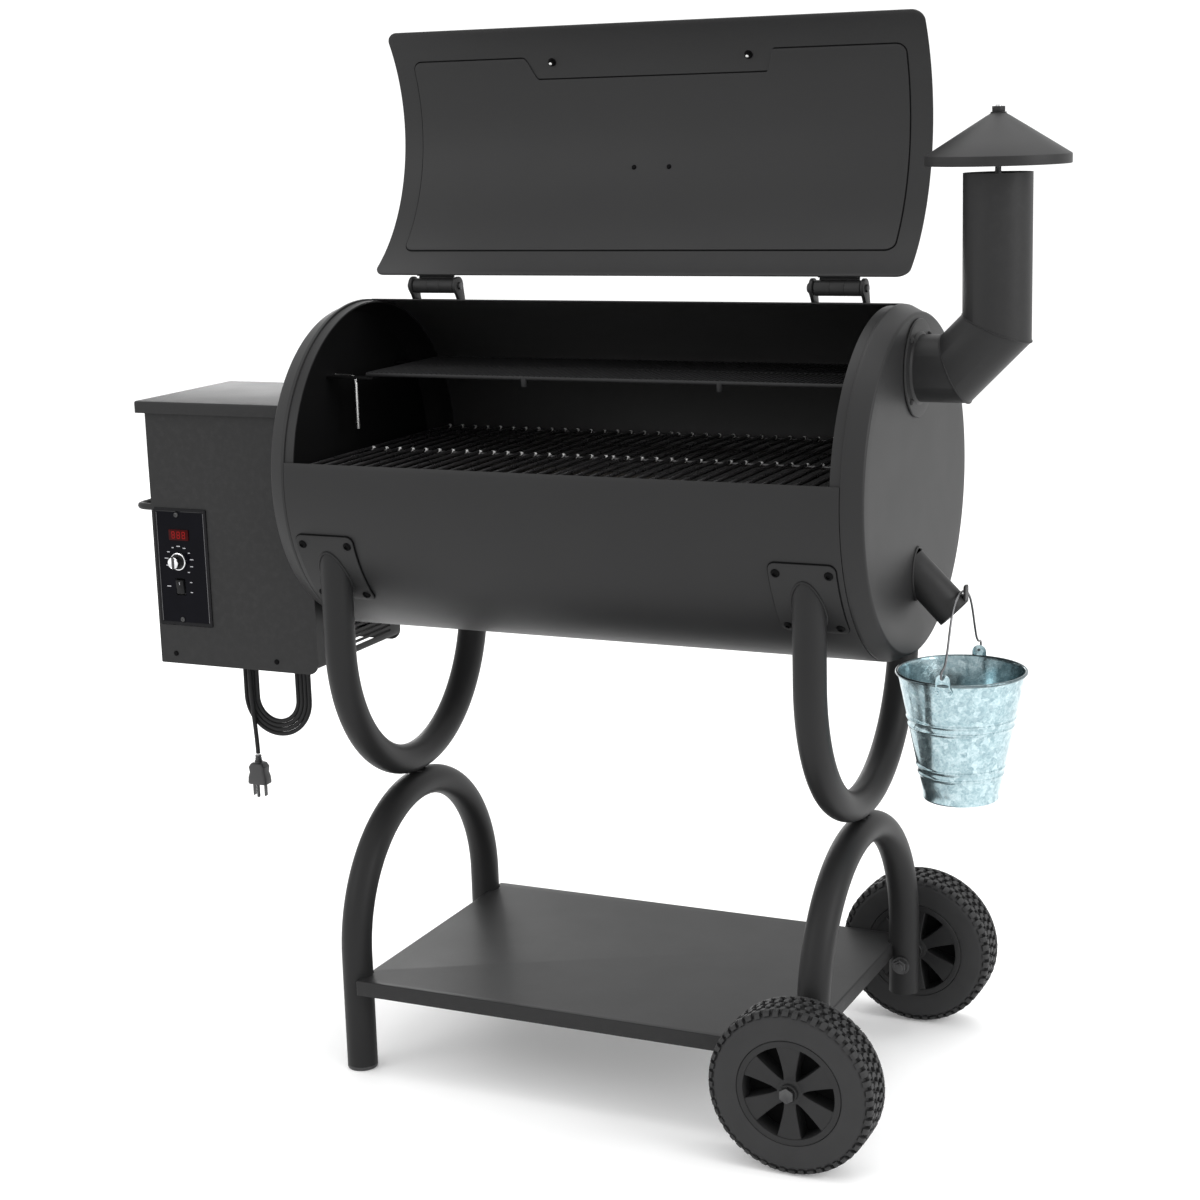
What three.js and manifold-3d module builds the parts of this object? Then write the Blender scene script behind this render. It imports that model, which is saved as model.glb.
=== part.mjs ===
// Wood-pellet smoker grill on a four-legged tube frame with two wheels.
// Millimetres, +Z up. X runs along the barrel (hopper at -X, chimney and wheels at +X),
// -Y is the front where the lid opens, and the ground is z = 0.
import * as THREE from "three";
import { mergeVertices } from "three/addons/utils/BufferGeometryUtils.js";
import Module from "manifold-3d";

const wasm = await Module();
wasm.setup();

// ---------------------------------------------------------------- dimensions
const SHIFT_X = 61.709; // moves the middle of the overall length onto x = 0
const GAP = 0.3; // clearance between neighbouring pieces

// barrel
const AXIS_Z = 800; // height of the barrel's axis
const BARREL_R = 220; // outer radius of the rolled shell
const SHEET = 2; // wall of shell, caps and lid
const SHELL_HALF = 373.7; // half length of the rolled shell
const CAP_X = 400; // outer face of an end cap
const CAP_LIP_R = 219.6; // largest radius of a cap's skirt
const CAP_FACE_R = 204; // radius where the flat face begins
const OPEN_FRONT_DEG = 172; // front edge of the cooking opening, from +Y round by the top
const OPEN_REAR_DEG = 84; // rear edge of the opening

// lid
const LID_R = 223; // outer radius
const LID_HALF = 376.5; // half width
const LID_A0 = 80; // rear edge, closed
const LID_A1 = 174; // front edge, closed
const LID_OPEN_DEG = 138.4; // angle from closed to the rear stop
const HINGE_Y = 43,
  HINGE_Z = 1035; // lid hinge axis
const HINGE_X = 285; // middle of each hinge
const HINGE_HALF = 36; // half length of each hinge

// frame
const LEG_X = 324; // planes of the two bent-tube frames
const LEG_Y = 185; // legs, front and rear
const TUBE_R = 20.5,
  TUBE_BORE = 18.5;
const U_SPRING_Z = 586,
  U_DROP = 198; // upper tube: where its bend starts, and the bend's depth
const ARCH_SPRING_Z = 158.7,
  ARCH_RISE = 188; // lower tube
const RIGHT_LEG_Z = 62; // the wheeled legs end above the ground
const SADDLE_HALF = 42; // half width of a saddle plate
const SHELF_HALF_X = 312,
  SHELF_HALF_Y = 211.5,
  SHELF_TOP = 133,
  SHELF_FLANGE = 20,
  SHELF_T = 1.5;
const WHEEL_X = 326,
  WHEEL_R = 105.5,
  WHEEL_IN = 223.2,
  WHEEL_OUT = 283.7,
  AXLE_R = 6;

// chimney
const STACK_X = 497.5,
  STUB_Z = 943,
  PIPE_R = 41,
  PIPE_T = 1.6,
  PIPE_TOP = 1175;
const COWL_R = 85.7,
  COWL_RIM_Z = 1184,
  COWL_RIM_H = 11,
  COWL_TOP_Z = 1243;

// hopper
const HX0 = -662,
  HX1 = -406,
  HY = 112,
  HZ0 = 522,
  HZ1 = 886,
  HT = 1.5;
const HOPPER_LID_TOP = 889.5;
const HOPPER_PIVOT_Y = 119,
  HOPPER_PIVOT_Z = 877;
const AUGER_Z = 632;

// controls
const PANEL_X0 = -658,
  PANEL_X1 = -572,
  PANEL_Z0 = 577,
  PANEL_Z1 = 742,
  PANEL_Y = -112.3;
const KNOB_X = -620.5,
  KNOB_Z = 668;
const SWITCH_X = -620.5,
  SWITCH_Z = 632,
  SWITCH_TILT = 7;

// grease bucket and spout
const BUCKET_X = 456,
  RIM_Z = 571,
  RIM_R = 79,
  BUCKET_BOTTOM_Z = 407,
  BUCKET_BOTTOM_R = 46;
const BAIL_TOP_Z = 669,
  BAIL_R = 1.75,
  EAR_Z = 573,
  EAR_Y = 84;
const SPOUT_TIP = [447.5, 642],
  SPOUT_R = 23;

// mains lead, stored as a hank behind the hopper's front wall
const CORD_R = 3.1,
  CORD_PITCH = 6.5,
  HANK_X = -521,
  HANK_Y = -40,
  HANK_HALF = 55.5,
  HANK_Z0 = 408,
  HANK_Z1 = 608,
  HANK_TURNS = 4;

// ---------------------------------------------------------------- helpers
const rad = THREE.MathUtils.degToRad;

// A closed BufferGeometry as a solid with its faces outward.
function solid(geometry) {
  let g = geometry.index ? geometry.toNonIndexed() : geometry.clone();
  const bare = new THREE.BufferGeometry().setAttribute(
    "position",
    g.getAttribute("position"),
  );
  const m = mergeVertices(bare, 1e-3);
  const tri = [];
  const ix = m.index.array;
  for (let i = 0; i < ix.length; i += 3) {
    const [a, b, c] = [ix[i], ix[i + 1], ix[i + 2]];
    if (a !== b && b !== c && a !== c) tri.push(a, b, c);
  }
  const p = m.attributes.position.array;
  let volume = 0;
  for (let i = 0; i < tri.length; i += 3) {
    const [a, b, c] = [tri[i] * 3, tri[i + 1] * 3, tri[i + 2] * 3];
    volume +=
      p[a] * (p[b + 1] * p[c + 2] - p[b + 2] * p[c + 1]) +
      p[a + 1] * (p[b + 2] * p[c] - p[b] * p[c + 2]) +
      p[a + 2] * (p[b] * p[c + 1] - p[b + 1] * p[c]);
  }
  if (volume < 0)
    for (let i = 0; i < tri.length; i += 3)
      [tri[i + 1], tri[i + 2]] = [tri[i + 2], tri[i + 1]];
  return new wasm.Manifold(
    new wasm.Mesh({
      numProp: 3,
      vertProperties: new Float32Array(p),
      triVerts: new Uint32Array(tri),
    }),
  );
}

function geometryOf(s) {
  const m = s.getMesh();
  const n = m.numProp,
    v = new Float32Array((m.vertProperties.length / n) * 3);
  for (let i = 0; i < v.length / 3; i++)
    for (let k = 0; k < 3; k++) v[i * 3 + k] = m.vertProperties[i * n + k];
  const g = new THREE.BufferGeometry();
  g.setAttribute("position", new THREE.BufferAttribute(v, 3));
  g.setIndex(new THREE.BufferAttribute(new Uint32Array(m.triVerts), 1));
  return g;
}

const join = (...s) => s.reduce((a, b) => a.add(b));
const cut = (a, ...s) => s.reduce((x, b) => x.subtract(b), a);

const box = (x0, x1, y0, y1, z0, z1) =>
  solid(
    new THREE.BoxGeometry(x1 - x0, y1 - y0, z1 - z0).translate(
      (x0 + x1) / 2,
      (y0 + y1) / 2,
      (z0 + z1) / 2,
    ),
  );

// A cylinder or cone from point a to point b.
function rod(a, b, r, seg = 12, r2 = r) {
  const A = new THREE.Vector3(...a),
    B = new THREE.Vector3(...b);
  const d = B.clone().sub(A);
  const g = new THREE.CylinderGeometry(r2, r, d.length(), seg);
  g.rotateY(Math.PI / seg); // a flat at the side
  g.applyQuaternion(
    new THREE.Quaternion().setFromUnitVectors(
      new THREE.Vector3(0, 1, 0),
      d.clone().normalize(),
    ),
  );
  g.translate((A.x + B.x) / 2, (A.y + B.y) / 2, (A.z + B.z) / 2);
  return solid(g);
}

// A pipe from a to b.
const pipe = (a, b, ro, ri, seg = 12) => {
  const A = new THREE.Vector3(...a),
    B = new THREE.Vector3(...b);
  const e = B.clone().sub(A).normalize();
  return cut(
    rod(a, b, ro, seg),
    rod(
      A.clone().addScaledVector(e, -1).toArray(),
      B.clone().addScaledVector(e, 1).toArray(),
      ri,
      seg,
    ),
  );
};

function shapeOf(points, holes = []) {
  const s = new THREE.Shape(points.map((p) => new THREE.Vector2(...p)));
  for (const h of holes)
    s.holes.push(new THREE.Path(h.map((p) => new THREE.Vector2(...p))));
  return s;
}

function plate(shape, depth, u, v, at) {
  const g = new THREE.ExtrudeGeometry(shape, {
    depth,
    bevelEnabled: false,
    curveSegments: 8,
  });
  const U = new THREE.Vector3(...u),
    V = new THREE.Vector3(...v),
    W = U.clone().cross(V);
  g.applyMatrix4(new THREE.Matrix4().makeBasis(U, V, W));
  g.translate(...at);
  return solid(g);
}
// profile in (y, z), extruded from x0 to x1
const alongX = (pts, x0, x1, holes) =>
  plate(shapeOf(pts, holes), x1 - x0, [0, 1, 0], [0, 0, 1], [x0, 0, 0]);
// profile in (x, z), extruded from y0 to y1
const alongY = (pts, y0, y1, holes) =>
  plate(shapeOf(pts, holes), y1 - y0, [1, 0, 0], [0, 0, 1], [0, y1, 0]);
// profile in (x, y), extruded from z0 to z1
const alongZ = (pts, z0, z1, holes) =>
  plate(shapeOf(pts, holes), z1 - z0, [1, 0, 0], [0, 1, 0], [0, 0, z0]);

// Points of an arc, degrees.
const arc = (cx, cy, r, a0, a1, n) =>
  Array.from({ length: n + 1 }, (_, i) => {
    const a = rad(a0 + ((a1 - a0) * i) / n);
    return [cx + r * Math.cos(a), cy + r * Math.sin(a)];
  });
const band = (cx, cy, ri, ro, a0, a1, n) => [
  ...arc(cx, cy, ro, a0, a1, n),
  ...arc(cx, cy, ri, a1, a0, n),
];

// A closed profile [[r, h], ...] turned about an axis.
function turned(profile, axis, at, seg) {
  const pts = profile.map((p) => new THREE.Vector2(p[0], p[1]));
  pts.push(pts[0].clone());
  const g = new THREE.LatheGeometry(pts, seg);
  if (axis === "x") g.rotateZ(-Math.PI / 2);
  if (axis === "-x") g.rotateZ(Math.PI / 2);
  if (axis === "z") g.rotateX(Math.PI / 2);
  g.translate(...at);
  return solid(g);
}

// A curve through given stations with given directions.
class Route extends THREE.Curve {
  constructor(points, tangents) {
    super();
    this.points = points;
    this.tangents = tangents;
    this.last = points.length - 1;
  }
  index(u) {
    return Math.min(this.last, Math.max(0, Math.round(u * this.last)));
  }
  getPoint(t) {
    return this.points[this.index(t)].clone();
  }
  getPointAt(u) {
    return this.points[this.index(u)].clone();
  }
  getTangentAt(u) {
    return this.tangents[this.index(u)].clone();
  }
  getSpacedPoints() {
    return this.points.map((p) => p.clone());
  }
}

function ring(r, seg) {
  return Array.from({ length: seg }, (_, i) => {
    const a = (2 * Math.PI * (i + 0.5)) / seg;
    return [r * Math.cos(a), r * Math.sin(a)];
  });
}

function swept(points, tangents, ro, ri, seg) {
  const P = points.map((p) => new THREE.Vector3(...p));
  const T = tangents
    ? tangents.map((t) => new THREE.Vector3(...t).normalize())
    : P.map((p, i) => {
        const a = P[Math.max(0, i - 1)],
          b = P[Math.min(P.length - 1, i + 1)];
        return b.clone().sub(a).normalize();
      });
  const g = new THREE.ExtrudeGeometry(
    shapeOf(ring(ro, seg), ri ? [ring(ri, seg)] : []),
    { steps: P.length - 1, extrudePath: new Route(P, T), bevelEnabled: false },
  );
  return solid(g);
}

const root = new THREE.Group();
root.position.x = SHIFT_X;

const paint = { color: 0x3a3b3c, roughness: 0.62, metalness: 0.25 };
const LOOK = {
  paint,
  enamel: { color: 0x111214, roughness: 0.35, metalness: 0.2 },
  steel: { color: 0xb8bcc0, roughness: 0.3, metalness: 0.9 },
  galvanised: { color: 0xaecbd3, roughness: 0.38, metalness: 0.85 },
  zinc: { color: 0x8d9296, roughness: 0.45, metalness: 0.8 },
  rubber: { color: 0x1d1e1f, roughness: 0.85, metalness: 0 },
  plastic: { color: 0x17181a, roughness: 0.5, metalness: 0 },
  gloss: { color: 0x08090a, roughness: 0.15, metalness: 0 },
  display: { color: 0x5a0808, roughness: 0.1, metalness: 0 },
  chrome: { color: 0xd5d8da, roughness: 0.12, metalness: 1 },
};

function add(name, s, look, parent = root) {
  const mesh = new THREE.Mesh(
    geometryOf(s),
    new THREE.MeshStandardMaterial({ ...LOOK[look], flatShading: true }),
  );
  mesh.name = name;
  parent.add(mesh);
  return mesh;
}

// ---------------------------------------------------------------- barrel
// Auger duct window and pipe openings in the caps.
const DUCT = { y: 36, z0: 597, z1: 669, x1: 70 };

{
  // Rolled shell with the cooking opening at the front and top, and the two
  // welded angle ledges that carry the grates.
  let s = alongX(
    band(0, AXIS_Z, BARREL_R - SHEET, BARREL_R, OPEN_FRONT_DEG, 360 + OPEN_REAR_DEG, 46),
    -SHELL_HALF,
    SHELL_HALF,
  );
  for (const side of [-1, 1]) {
    const y = (d) => side * d;
    const leg = alongX(
      [
        [y(219), 812],
        [y(196), 812],
        [y(196), 815],
        [y(219), 815],
      ],
      -358,
      358,
    );
    s = s.add(leg);
  }
  // welded tabs that carry the drip tray, front and rear, left higher than right
  for (const [x, z] of [
    [-300, 764.7],
    [300, 732.7],
  ])
    for (const side of [-1, 1])
      s = s.add(
        box(
          x - 12,
          x + 12,
          side > 0 ? 192 : -218,
          side > 0 ? 218 : -192,
          z - 3,
          z,
        ).intersect(rod([x - 13, 0, AXIS_Z], [x + 13, 0, AXIS_Z], 219, 72)),
      );
  add("barrel_shell", s, "paint");
}

function endCap() {
  // Skirt tapering to a flat face, with a spigot that fits inside the shell.
  return turned(
    [
      [217.3, 360],
      [217.3, 374],
      [CAP_LIP_R, 374],
      [CAP_LIP_R, 378],
      [211.5, 393.5],
      [CAP_FACE_R, CAP_X],
      [0, CAP_X],
      [0, CAP_X - SHEET],
      [CAP_FACE_R - 0.8, CAP_X - SHEET],
      [209.9, 391.6],
      [215.3, 377],
      [215.3, 360],
    ],
    "x",
    [0, 0, AXIS_Z],
    36,
  );
}

// Welded tabs on a cap's inner face, under the warming rack's ends.
const rackTabs = (side) =>
  [-56, 125].map((y) => {
    const x = [side * 328, side * 399].sort((a, b) => a - b);
    return box(x[0], x[1], y - 8, y + 8, 920, 922.5);
  });

const tipX = SPOUT_TIP[0],
  tipZ = SPOUT_TIP[1];
{
  const right = endCap();
  const stub = rod([390, 0, STUB_Z], [410, 0, STUB_Z], PIPE_R + GAP, 24);
  const spout = rod(
    [tipX - 90, 0, tipZ + 90],
    [tipX, 0, tipZ],
    SPOUT_R + GAP,
    16,
  );
  add("right_end_cap", join(cut(right, stub, spout), ...rackTabs(1)), "paint");

  const flipped = solid(
    geometryOf(endCap()).rotateZ(Math.PI), // turned to face -X
  );
  const window_ = box(-410, -390, -DUCT.y - GAP, DUCT.y + GAP, DUCT.z0 - GAP, DUCT.z1 + GAP);
  const probe = rod([-410, -40, 921], [-390, -40, 921], 3.4, 8);
  add("left_end_cap", join(cut(flipped, window_, probe), ...rackTabs(-1)), "paint");
}

// ---------------------------------------------------------------- inside the barrel
// A flat grid of bars: a plate with a window between each pair of bars.
function grid(xs, rows, half, z0, z1) {
  const [X0, X1] = [xs[0] - half, xs[xs.length - 1] + half];
  const [Y0, Y1] = [rows[0] - half, rows[rows.length - 1] + half];
  const windows = [];
  for (let i = 0; i + 1 < xs.length; i++)
    for (let k = 0; k + 1 < rows.length; k++)
      windows.push(
        box(
          xs[i] + half,
          xs[i + 1] - half,
          rows[k] + half,
          rows[k + 1] - half,
          z0 - 1,
          z1 + 1,
        ),
      );
  return cut(box(X0, X1, Y0, Y1, z0, z1), ...windows);
}
const even = (a, b, n) => Array.from({ length: n + 1 }, (_, i) => a + ((b - a) * i) / n);

// Cooking grates: bars along Y, tied by cross bars.
add("cooking_grate_left", grid(even(-349.5, -5, 17), [-201, -35, 184], 2.5, 819, 827), "enamel");
add("cooking_grate_right", grid(even(5, 349.5, 17), [-201, -35, 184], 2.5, 819, 827), "enamel");

{
  // Warming rack: a wire grid with four short feet that keep it off a table.
  const z = 927;
  let s = grid(even(-337.5, 337.5, 20), [-60, 140], 2.4, z - 2.5, z + 2.5);
  for (const c of [-105, 165])
    for (const y of [-60, 140])
      s = s.add(rod([c, y, z - 12], [c, y, z - 1], 4, 6));
  add("warming_rack", s, "enamel");
}

{
  // Sloped drip tray with a drip lip at the right, and upstands front and rear.
  const t = 1.6,
    z = (x) => 768.5 + ((x + 350) * -32) / 600; // falls to the right
  const prof = [
    [-350, z(-350)],
    [352, z(352)],
    [352, z(352) - 12],
    [352 + t, z(352) - 12],
    [352 + t, z(352) + t],
    [-350, z(-350) + t],
  ];
  const edge = [
    [-350, z(-350)],
    [352, z(352)],
    [352, z(352) + 9],
    [-350, z(-350) + 9],
  ];
  add(
    "drip_tray",
    join(
      alongY(prof, -199, 199),
      alongY(edge, -199, -199 + t),
      alongY(edge, 199 - t, 199),
    ),
    "zinc",
  );
}
// Domed heat baffle over the fire pot, on two folded feet that stand on the duct.
add(
  "heat_baffle",
  join(
    alongX(
      [
        [-75, 716],
        [-55, 728],
        [55, 728],
        [75, 716],
        [75, 718],
        [55.6, 730],
        [-55.6, 730],
        [-75, 718],
      ],
      -75,
      90,
    ),
    box(-73, -71, -30, 30, 669.6, 728.5),
    box(56, 58, -30, 30, 669.6, 728.5),
  ),
  "zinc",
);
{
  // Fire pot: open box with air holes, let into the duct.
  let s = cut(
    box(-40, 48, -32, 32, 599, 704),
    box(-37.5, 45.5, -29.5, 29.5, 601.5, 705),
    rod([-45, 0, AUGER_Z], [-30, 0, AUGER_Z], 25.4, 16),
    rod([40, 0, 616], [52, 0, 616], 4.9, 8),
  );
  for (const x of [-22, 4, 30])
    s = s.subtract(box(x - 3, x + 3, -40, 40, 640, 646));
  add("fire_pot", s, "zinc");
}
add(
  "igniter_rod",
  join(rod([22, 0, 616], [62, 0, 616], 4.2, 8), rod([53, 0, 616], [66, 0, 616], 7, 8)),
  "steel",
);
{
  // Air duct: square channel from the hopper to the fire pot, with a mounting
  // flange between the hopper and the barrel's left cap.
  const { y, z0, z1, x1 } = DUCT;
  let s = cut(
    join(box(-405.7, x1, -y, y, z0, z1), box(-405.7, -400.3, -55, 55, 585, 681)),
    box(-410, x1 - 1.5, -y + 1.5, y - 1.5, z0 + 1.5, z1 - 1.5),
    box(-41, 49, -33, 33, z1 - 5, z1 + 5),
  );
  add("air_duct", s, "zinc");
}
{
  // Auger tube, open at the fire pot, with a feed slot under the pellet bin.
  let s = pipe([-601, 0, AUGER_Z], [-38.3, 0, AUGER_Z], 25, 23, 16);
  s = s.subtract(box(-561, -502, -17, 17, AUGER_Z + 5, AUGER_Z + 30));
  add("auger_tube", s, "steel");
}
{
  // Auger screw: helical flight on a shaft that runs into the gear motor.
  const x0 = -592,
    x1 = -46,
    pitch = 78,
    per = 6,
    r0 = 4,
    r1 = 20,
    t = 1.3;
  const n = Math.round(((x1 - x0) / pitch) * per);
  const pos = [],
    idx = [];
  for (let i = 0; i <= n; i++) {
    const x = x0 + ((x1 - x0) * i) / n,
      a = (2 * Math.PI * i) / per;
    for (const [r, dx] of [
      [r0, -t],
      [r1, -t],
      [r1, t],
      [r0, t],
    ])
      pos.push(x + dx, r * Math.cos(a), AUGER_Z + r * Math.sin(a));
  }
  for (let i = 0; i < n; i++)
    for (let k = 0; k < 4; k++) {
      const a = i * 4 + k,
        b = i * 4 + ((k + 1) % 4),
        c = a + 4,
        d = b + 4;
      idx.push(a, b, d, a, d, c);
    }
  idx.push(0, 2, 1, 0, 3, 2);
  const e = n * 4;
  idx.push(e, e + 1, e + 2, e, e + 2, e + 3);
  const g = new THREE.BufferGeometry();
  g.setAttribute("position", new THREE.Float32BufferAttribute(pos, 3));
  g.setIndex(idx);
  add(
    "auger_screw",
    solid(g).add(rod([-628, 0, AUGER_Z], [-44, 0, AUGER_Z], 6, 8)),
    "steel",
  );
}
// Gear motor that turns the auger, with a bore for the shaft.
add(
  "auger_motor",
  cut(
    join(box(-656, -604, -28, 28, 604, 656), box(-652, -616, -24, 24, 580, 604.5)),
    rod([-632, 0, AUGER_Z], [-600, 0, AUGER_Z], 7, 8),
  ),
  "plastic",
);
{
  // Fan housing around the auger tube: inlet in its floor, outlet to the duct.
  let s = cut(
    box(-474, -407.9, -34, 34, 560, 672),
    box(-472.5, -400, -32.5, 32.5, 561.5, 670.5),
    rod([-480, 0, AUGER_Z], [-465, 0, AUGER_Z], 25.4, 16),
    rod([-440, 0, 555], [-440, 0, 565], 22, 16),
  );
  // motor spider across the inlet
  s = join(s, box(-465, -415, -3, 3, 560, 561.5), rod([-440, 0, 558], [-440, 0, 564], 6, 8));
  add("fan_housing", s, "zinc");
}
{
  let s = rod([-440, 0, 564.4], [-440, 0, 586], 7, 8);
  for (let i = 0; i < 7; i++) {
    const g = new THREE.BoxGeometry(19, 1.6, 18)
      .translate(14, 0, 0)
      .rotateZ((2 * Math.PI * i) / 7)
      .translate(-440, 0, 575);
    s = s.add(solid(g));
  }
  add("fan_impeller", s, "plastic");
}
{
  // Temperature probe: stainless rod through the left cap, bent down.
  const P = [
    [-401.4, -40, 921],
    [-374, -40, 921],
    [-369.2, -40, 919],
    [-367, -40, 914],
    [-367, -40, 850],
  ];
  add("temperature_probe", swept(P, null, 3, 0, 8), "steel");
}

// ---------------------------------------------------------------- grease spout
{
  const a = [tipX - 68, 0, tipZ + 68];
  let s = pipe(a, [tipX, 0, tipZ], SPOUT_R, SPOUT_R - 2, 16);
  s = s.subtract(box(300, 378, -40, 40, 640, 800)); // trimmed square inside the cap
  // hook tab that keeps the bucket's bail on the spout
  s = s.add(
    cut(
      box(459.6, 462.6, -7, 7, 650, 678),
      rod([tipX - 60, 0, tipZ + 60], [tipX + 20, 0, tipZ - 20], SPOUT_R - 1.2, 16),
    ),
  );
  add("drain_spout", s, "paint");
}

// ---------------------------------------------------------------- bucket
{
  // Tapered bucket with a rolled rim, two pressed ribs and two ears.
  const H = RIM_Z - BUCKET_BOTTOM_Z;
  const r = (z) =>
    BUCKET_BOTTOM_R + ((RIM_R - BUCKET_BOTTOM_R) * (z - BUCKET_BOTTOM_Z)) / H;
  const t = 1.1;
  const out = [];
  const rib = (z, d) => [
    [r(z - 3), z - 3],
    [r(z) + d, z],
    [r(z + 3), z + 3],
  ];
  out.push([0, BUCKET_BOTTOM_Z + 3], [BUCKET_BOTTOM_R - 3, BUCKET_BOTTOM_Z + 3]);
  out.push([BUCKET_BOTTOM_R - 2, BUCKET_BOTTOM_Z], [BUCKET_BOTTOM_R + 1.2, BUCKET_BOTTOM_Z]);
  out.push(...rib(446, 1.4), ...rib(508, 1.4));
  out.push([r(RIM_Z - 5), RIM_Z - 5], [RIM_R + 2.6, RIM_Z - 4], [RIM_R + 2.6, RIM_Z]);
  out.push([RIM_R - t, RIM_Z]);
  out.push([r(RIM_Z - 6) - t, RIM_Z - 6]);
  out.push([r(BUCKET_BOTTOM_Z + 5) - t, BUCKET_BOTTOM_Z + 5], [0, BUCKET_BOTTOM_Z + 4.2]);
  let s = turned(out, "z", [0, 0, 0], 20);
  s = solid(geometryOf(s).translate(BUCKET_X, 0, 0));
  for (const side of [-1, 1]) {
    const y0 = side > 0 ? RIM_R - 1.5 : -(RIM_R + 3.4);
    const ear = cut(
      alongY(
        [
          [BUCKET_X - 13, 548],
          [BUCKET_X + 13, 548],
          [BUCKET_X + 9, 568],
          ...arc(BUCKET_X, EAR_Z + 3, 8, 0, 180, 6),
          [BUCKET_X - 9, 568],
        ],
        y0,
        y0 + 4.9,
      ),
      rod([BUCKET_X, -100, EAR_Z + 2.5], [BUCKET_X, 100, EAR_Z + 2.5], 2.6, 8),
      // keeps the ear outside the bucket's wall
      rod([BUCKET_X, 0, 540], [BUCKET_X, 0, RIM_Z - 0.5], r(540) - 1, 20, RIM_R - 1),
    );
    s = s.add(ear);
  }
  add("bucket_shell", s, "galvanised");
}
{
  // Wire bail: over the spout at the top, hooked through the ears.
  const half = [
    [0, BAIL_TOP_Z],
    [14, 667.5],
    [28, 662],
    [39, 652],
    [49, 636],
    [58, 616],
    [68, 599],
    [78, 590.5],
    [EAR_Y + 3.5, 588],
    [EAR_Y + 5, 584],
    [EAR_Y + 4.5, 577.5],
    [EAR_Y + 1.5, EAR_Z + 2.5],
    [RIM_R - 3.5, EAR_Z + 2.5],
  ];
  const P = [
    ...half.slice(1).reverse().map(([y, z]) => [BUCKET_X, -y, z]),
    ...half.map(([y, z]) => [BUCKET_X, y, z]),
  ];
  add("bucket_bail", swept(P, null, BAIL_R, 0, 6), "zinc");
}

// ---------------------------------------------------------------- chimney
add(
  "chimney_flange",
  join(
    pipe([400.3, 0, STUB_Z], [403.3, 0, STUB_Z], 60, PIPE_R + GAP, 32),
    ...[45, 135, 225, 315].map((a) =>
      rod(
        [402.5, 52 * Math.cos(rad(a)), STUB_Z + 52 * Math.sin(rad(a))],
        [406.5, 52 * Math.cos(rad(a)), STUB_Z + 52 * Math.sin(rad(a))],
        4,
        6,
      ),
    ),
  ),
  "paint",
);
{
  // Three-segment mitred elbow and vertical pipe, one welded piece.
  const rise = STACK_X - 447.5;
  const P = [
    [396, 0, STUB_Z],
    [447.5, 0, STUB_Z],
    [STACK_X, 0, STUB_Z + rise],
    [STACK_X, 0, PIPE_TOP],
  ];
  // outline swept with mitred joints: outer and inner tubes
  const mitred = (r, ext) => {
    const n = 24,
      k = 1 / Math.cos(rad(22.5));
    const dirs = [
      [1, 0],
      [Math.cos(rad(22.5)), Math.sin(rad(22.5))],
      [Math.cos(rad(67.5)), Math.sin(rad(67.5))],
      [0, 1],
    ];
    const S = P.map((p) => [...p]);
    S[0][0] -= ext;
    S[3][2] += ext;
    const pos = [],
      idx = [];
    S.forEach(([x, , z], i) => {
      const [dx, dz] = dirs[i];
      const w = i === 1 || i === 2 ? k : 1;
      for (let j = 0; j < n; j++) {
        const a = (2 * Math.PI * (j + 0.5)) / n;
        const u = r * w * Math.cos(a),
          v = r * Math.sin(a);
        pos.push(x - dz * u, v, z + dx * u);
      }
    });
    for (let i = 0; i < 3; i++)
      for (let j = 0; j < n; j++) {
        const a = i * n + j,
          b = i * n + ((j + 1) % n);
        idx.push(a, b, b + n, a, b + n, a + n);
      }
    for (let j = 1; j < n - 1; j++) {
      idx.push(0, j + 1, j);
      const e = 3 * n;
      idx.push(e, e + j, e + j + 1);
    }
    const g = new THREE.BufferGeometry();
    g.setAttribute("position", new THREE.Float32BufferAttribute(pos, 3));
    g.setIndex(idx);
    return solid(g);
  };
  let s = mitred(PIPE_R, 0).subtract(mitred(PIPE_R - PIPE_T, 4));
  // crossbar with the threaded rod that carries the cowl
  s = join(
    s,
    box(STACK_X - PIPE_R + 0.6, STACK_X + PIPE_R - 0.6, -6, 6, 1150, 1152.5),
    rod([STACK_X, 0, 1151], [STACK_X, 0, 1253], 4, 8),
  );
  add("chimney_pipe", s, "paint");
}
{
  // Conical cowl with a rolled rim, and the nut that it is screwed down with.
  const z0 = COWL_RIM_Z,
    z1 = z0 + COWL_RIM_H,
    t = 1.5;
  const prof = [
    [COWL_R, z0],
    [COWL_R, z1],
    [9, COWL_TOP_Z],
    [8, COWL_TOP_Z + 4],
    [8, COWL_TOP_Z + 8],
    [4.9, COWL_TOP_Z + 8],
    [4.9, COWL_TOP_Z - 3],
    [COWL_R - t, z1 - 1.2],
    [COWL_R - t, z0],
  ];
  const s = turned(prof, "z", [0, 0, 0], 24);
  add("chimney_cap", solid(geometryOf(s).translate(STACK_X, 0, 0)), "paint");
}

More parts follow.
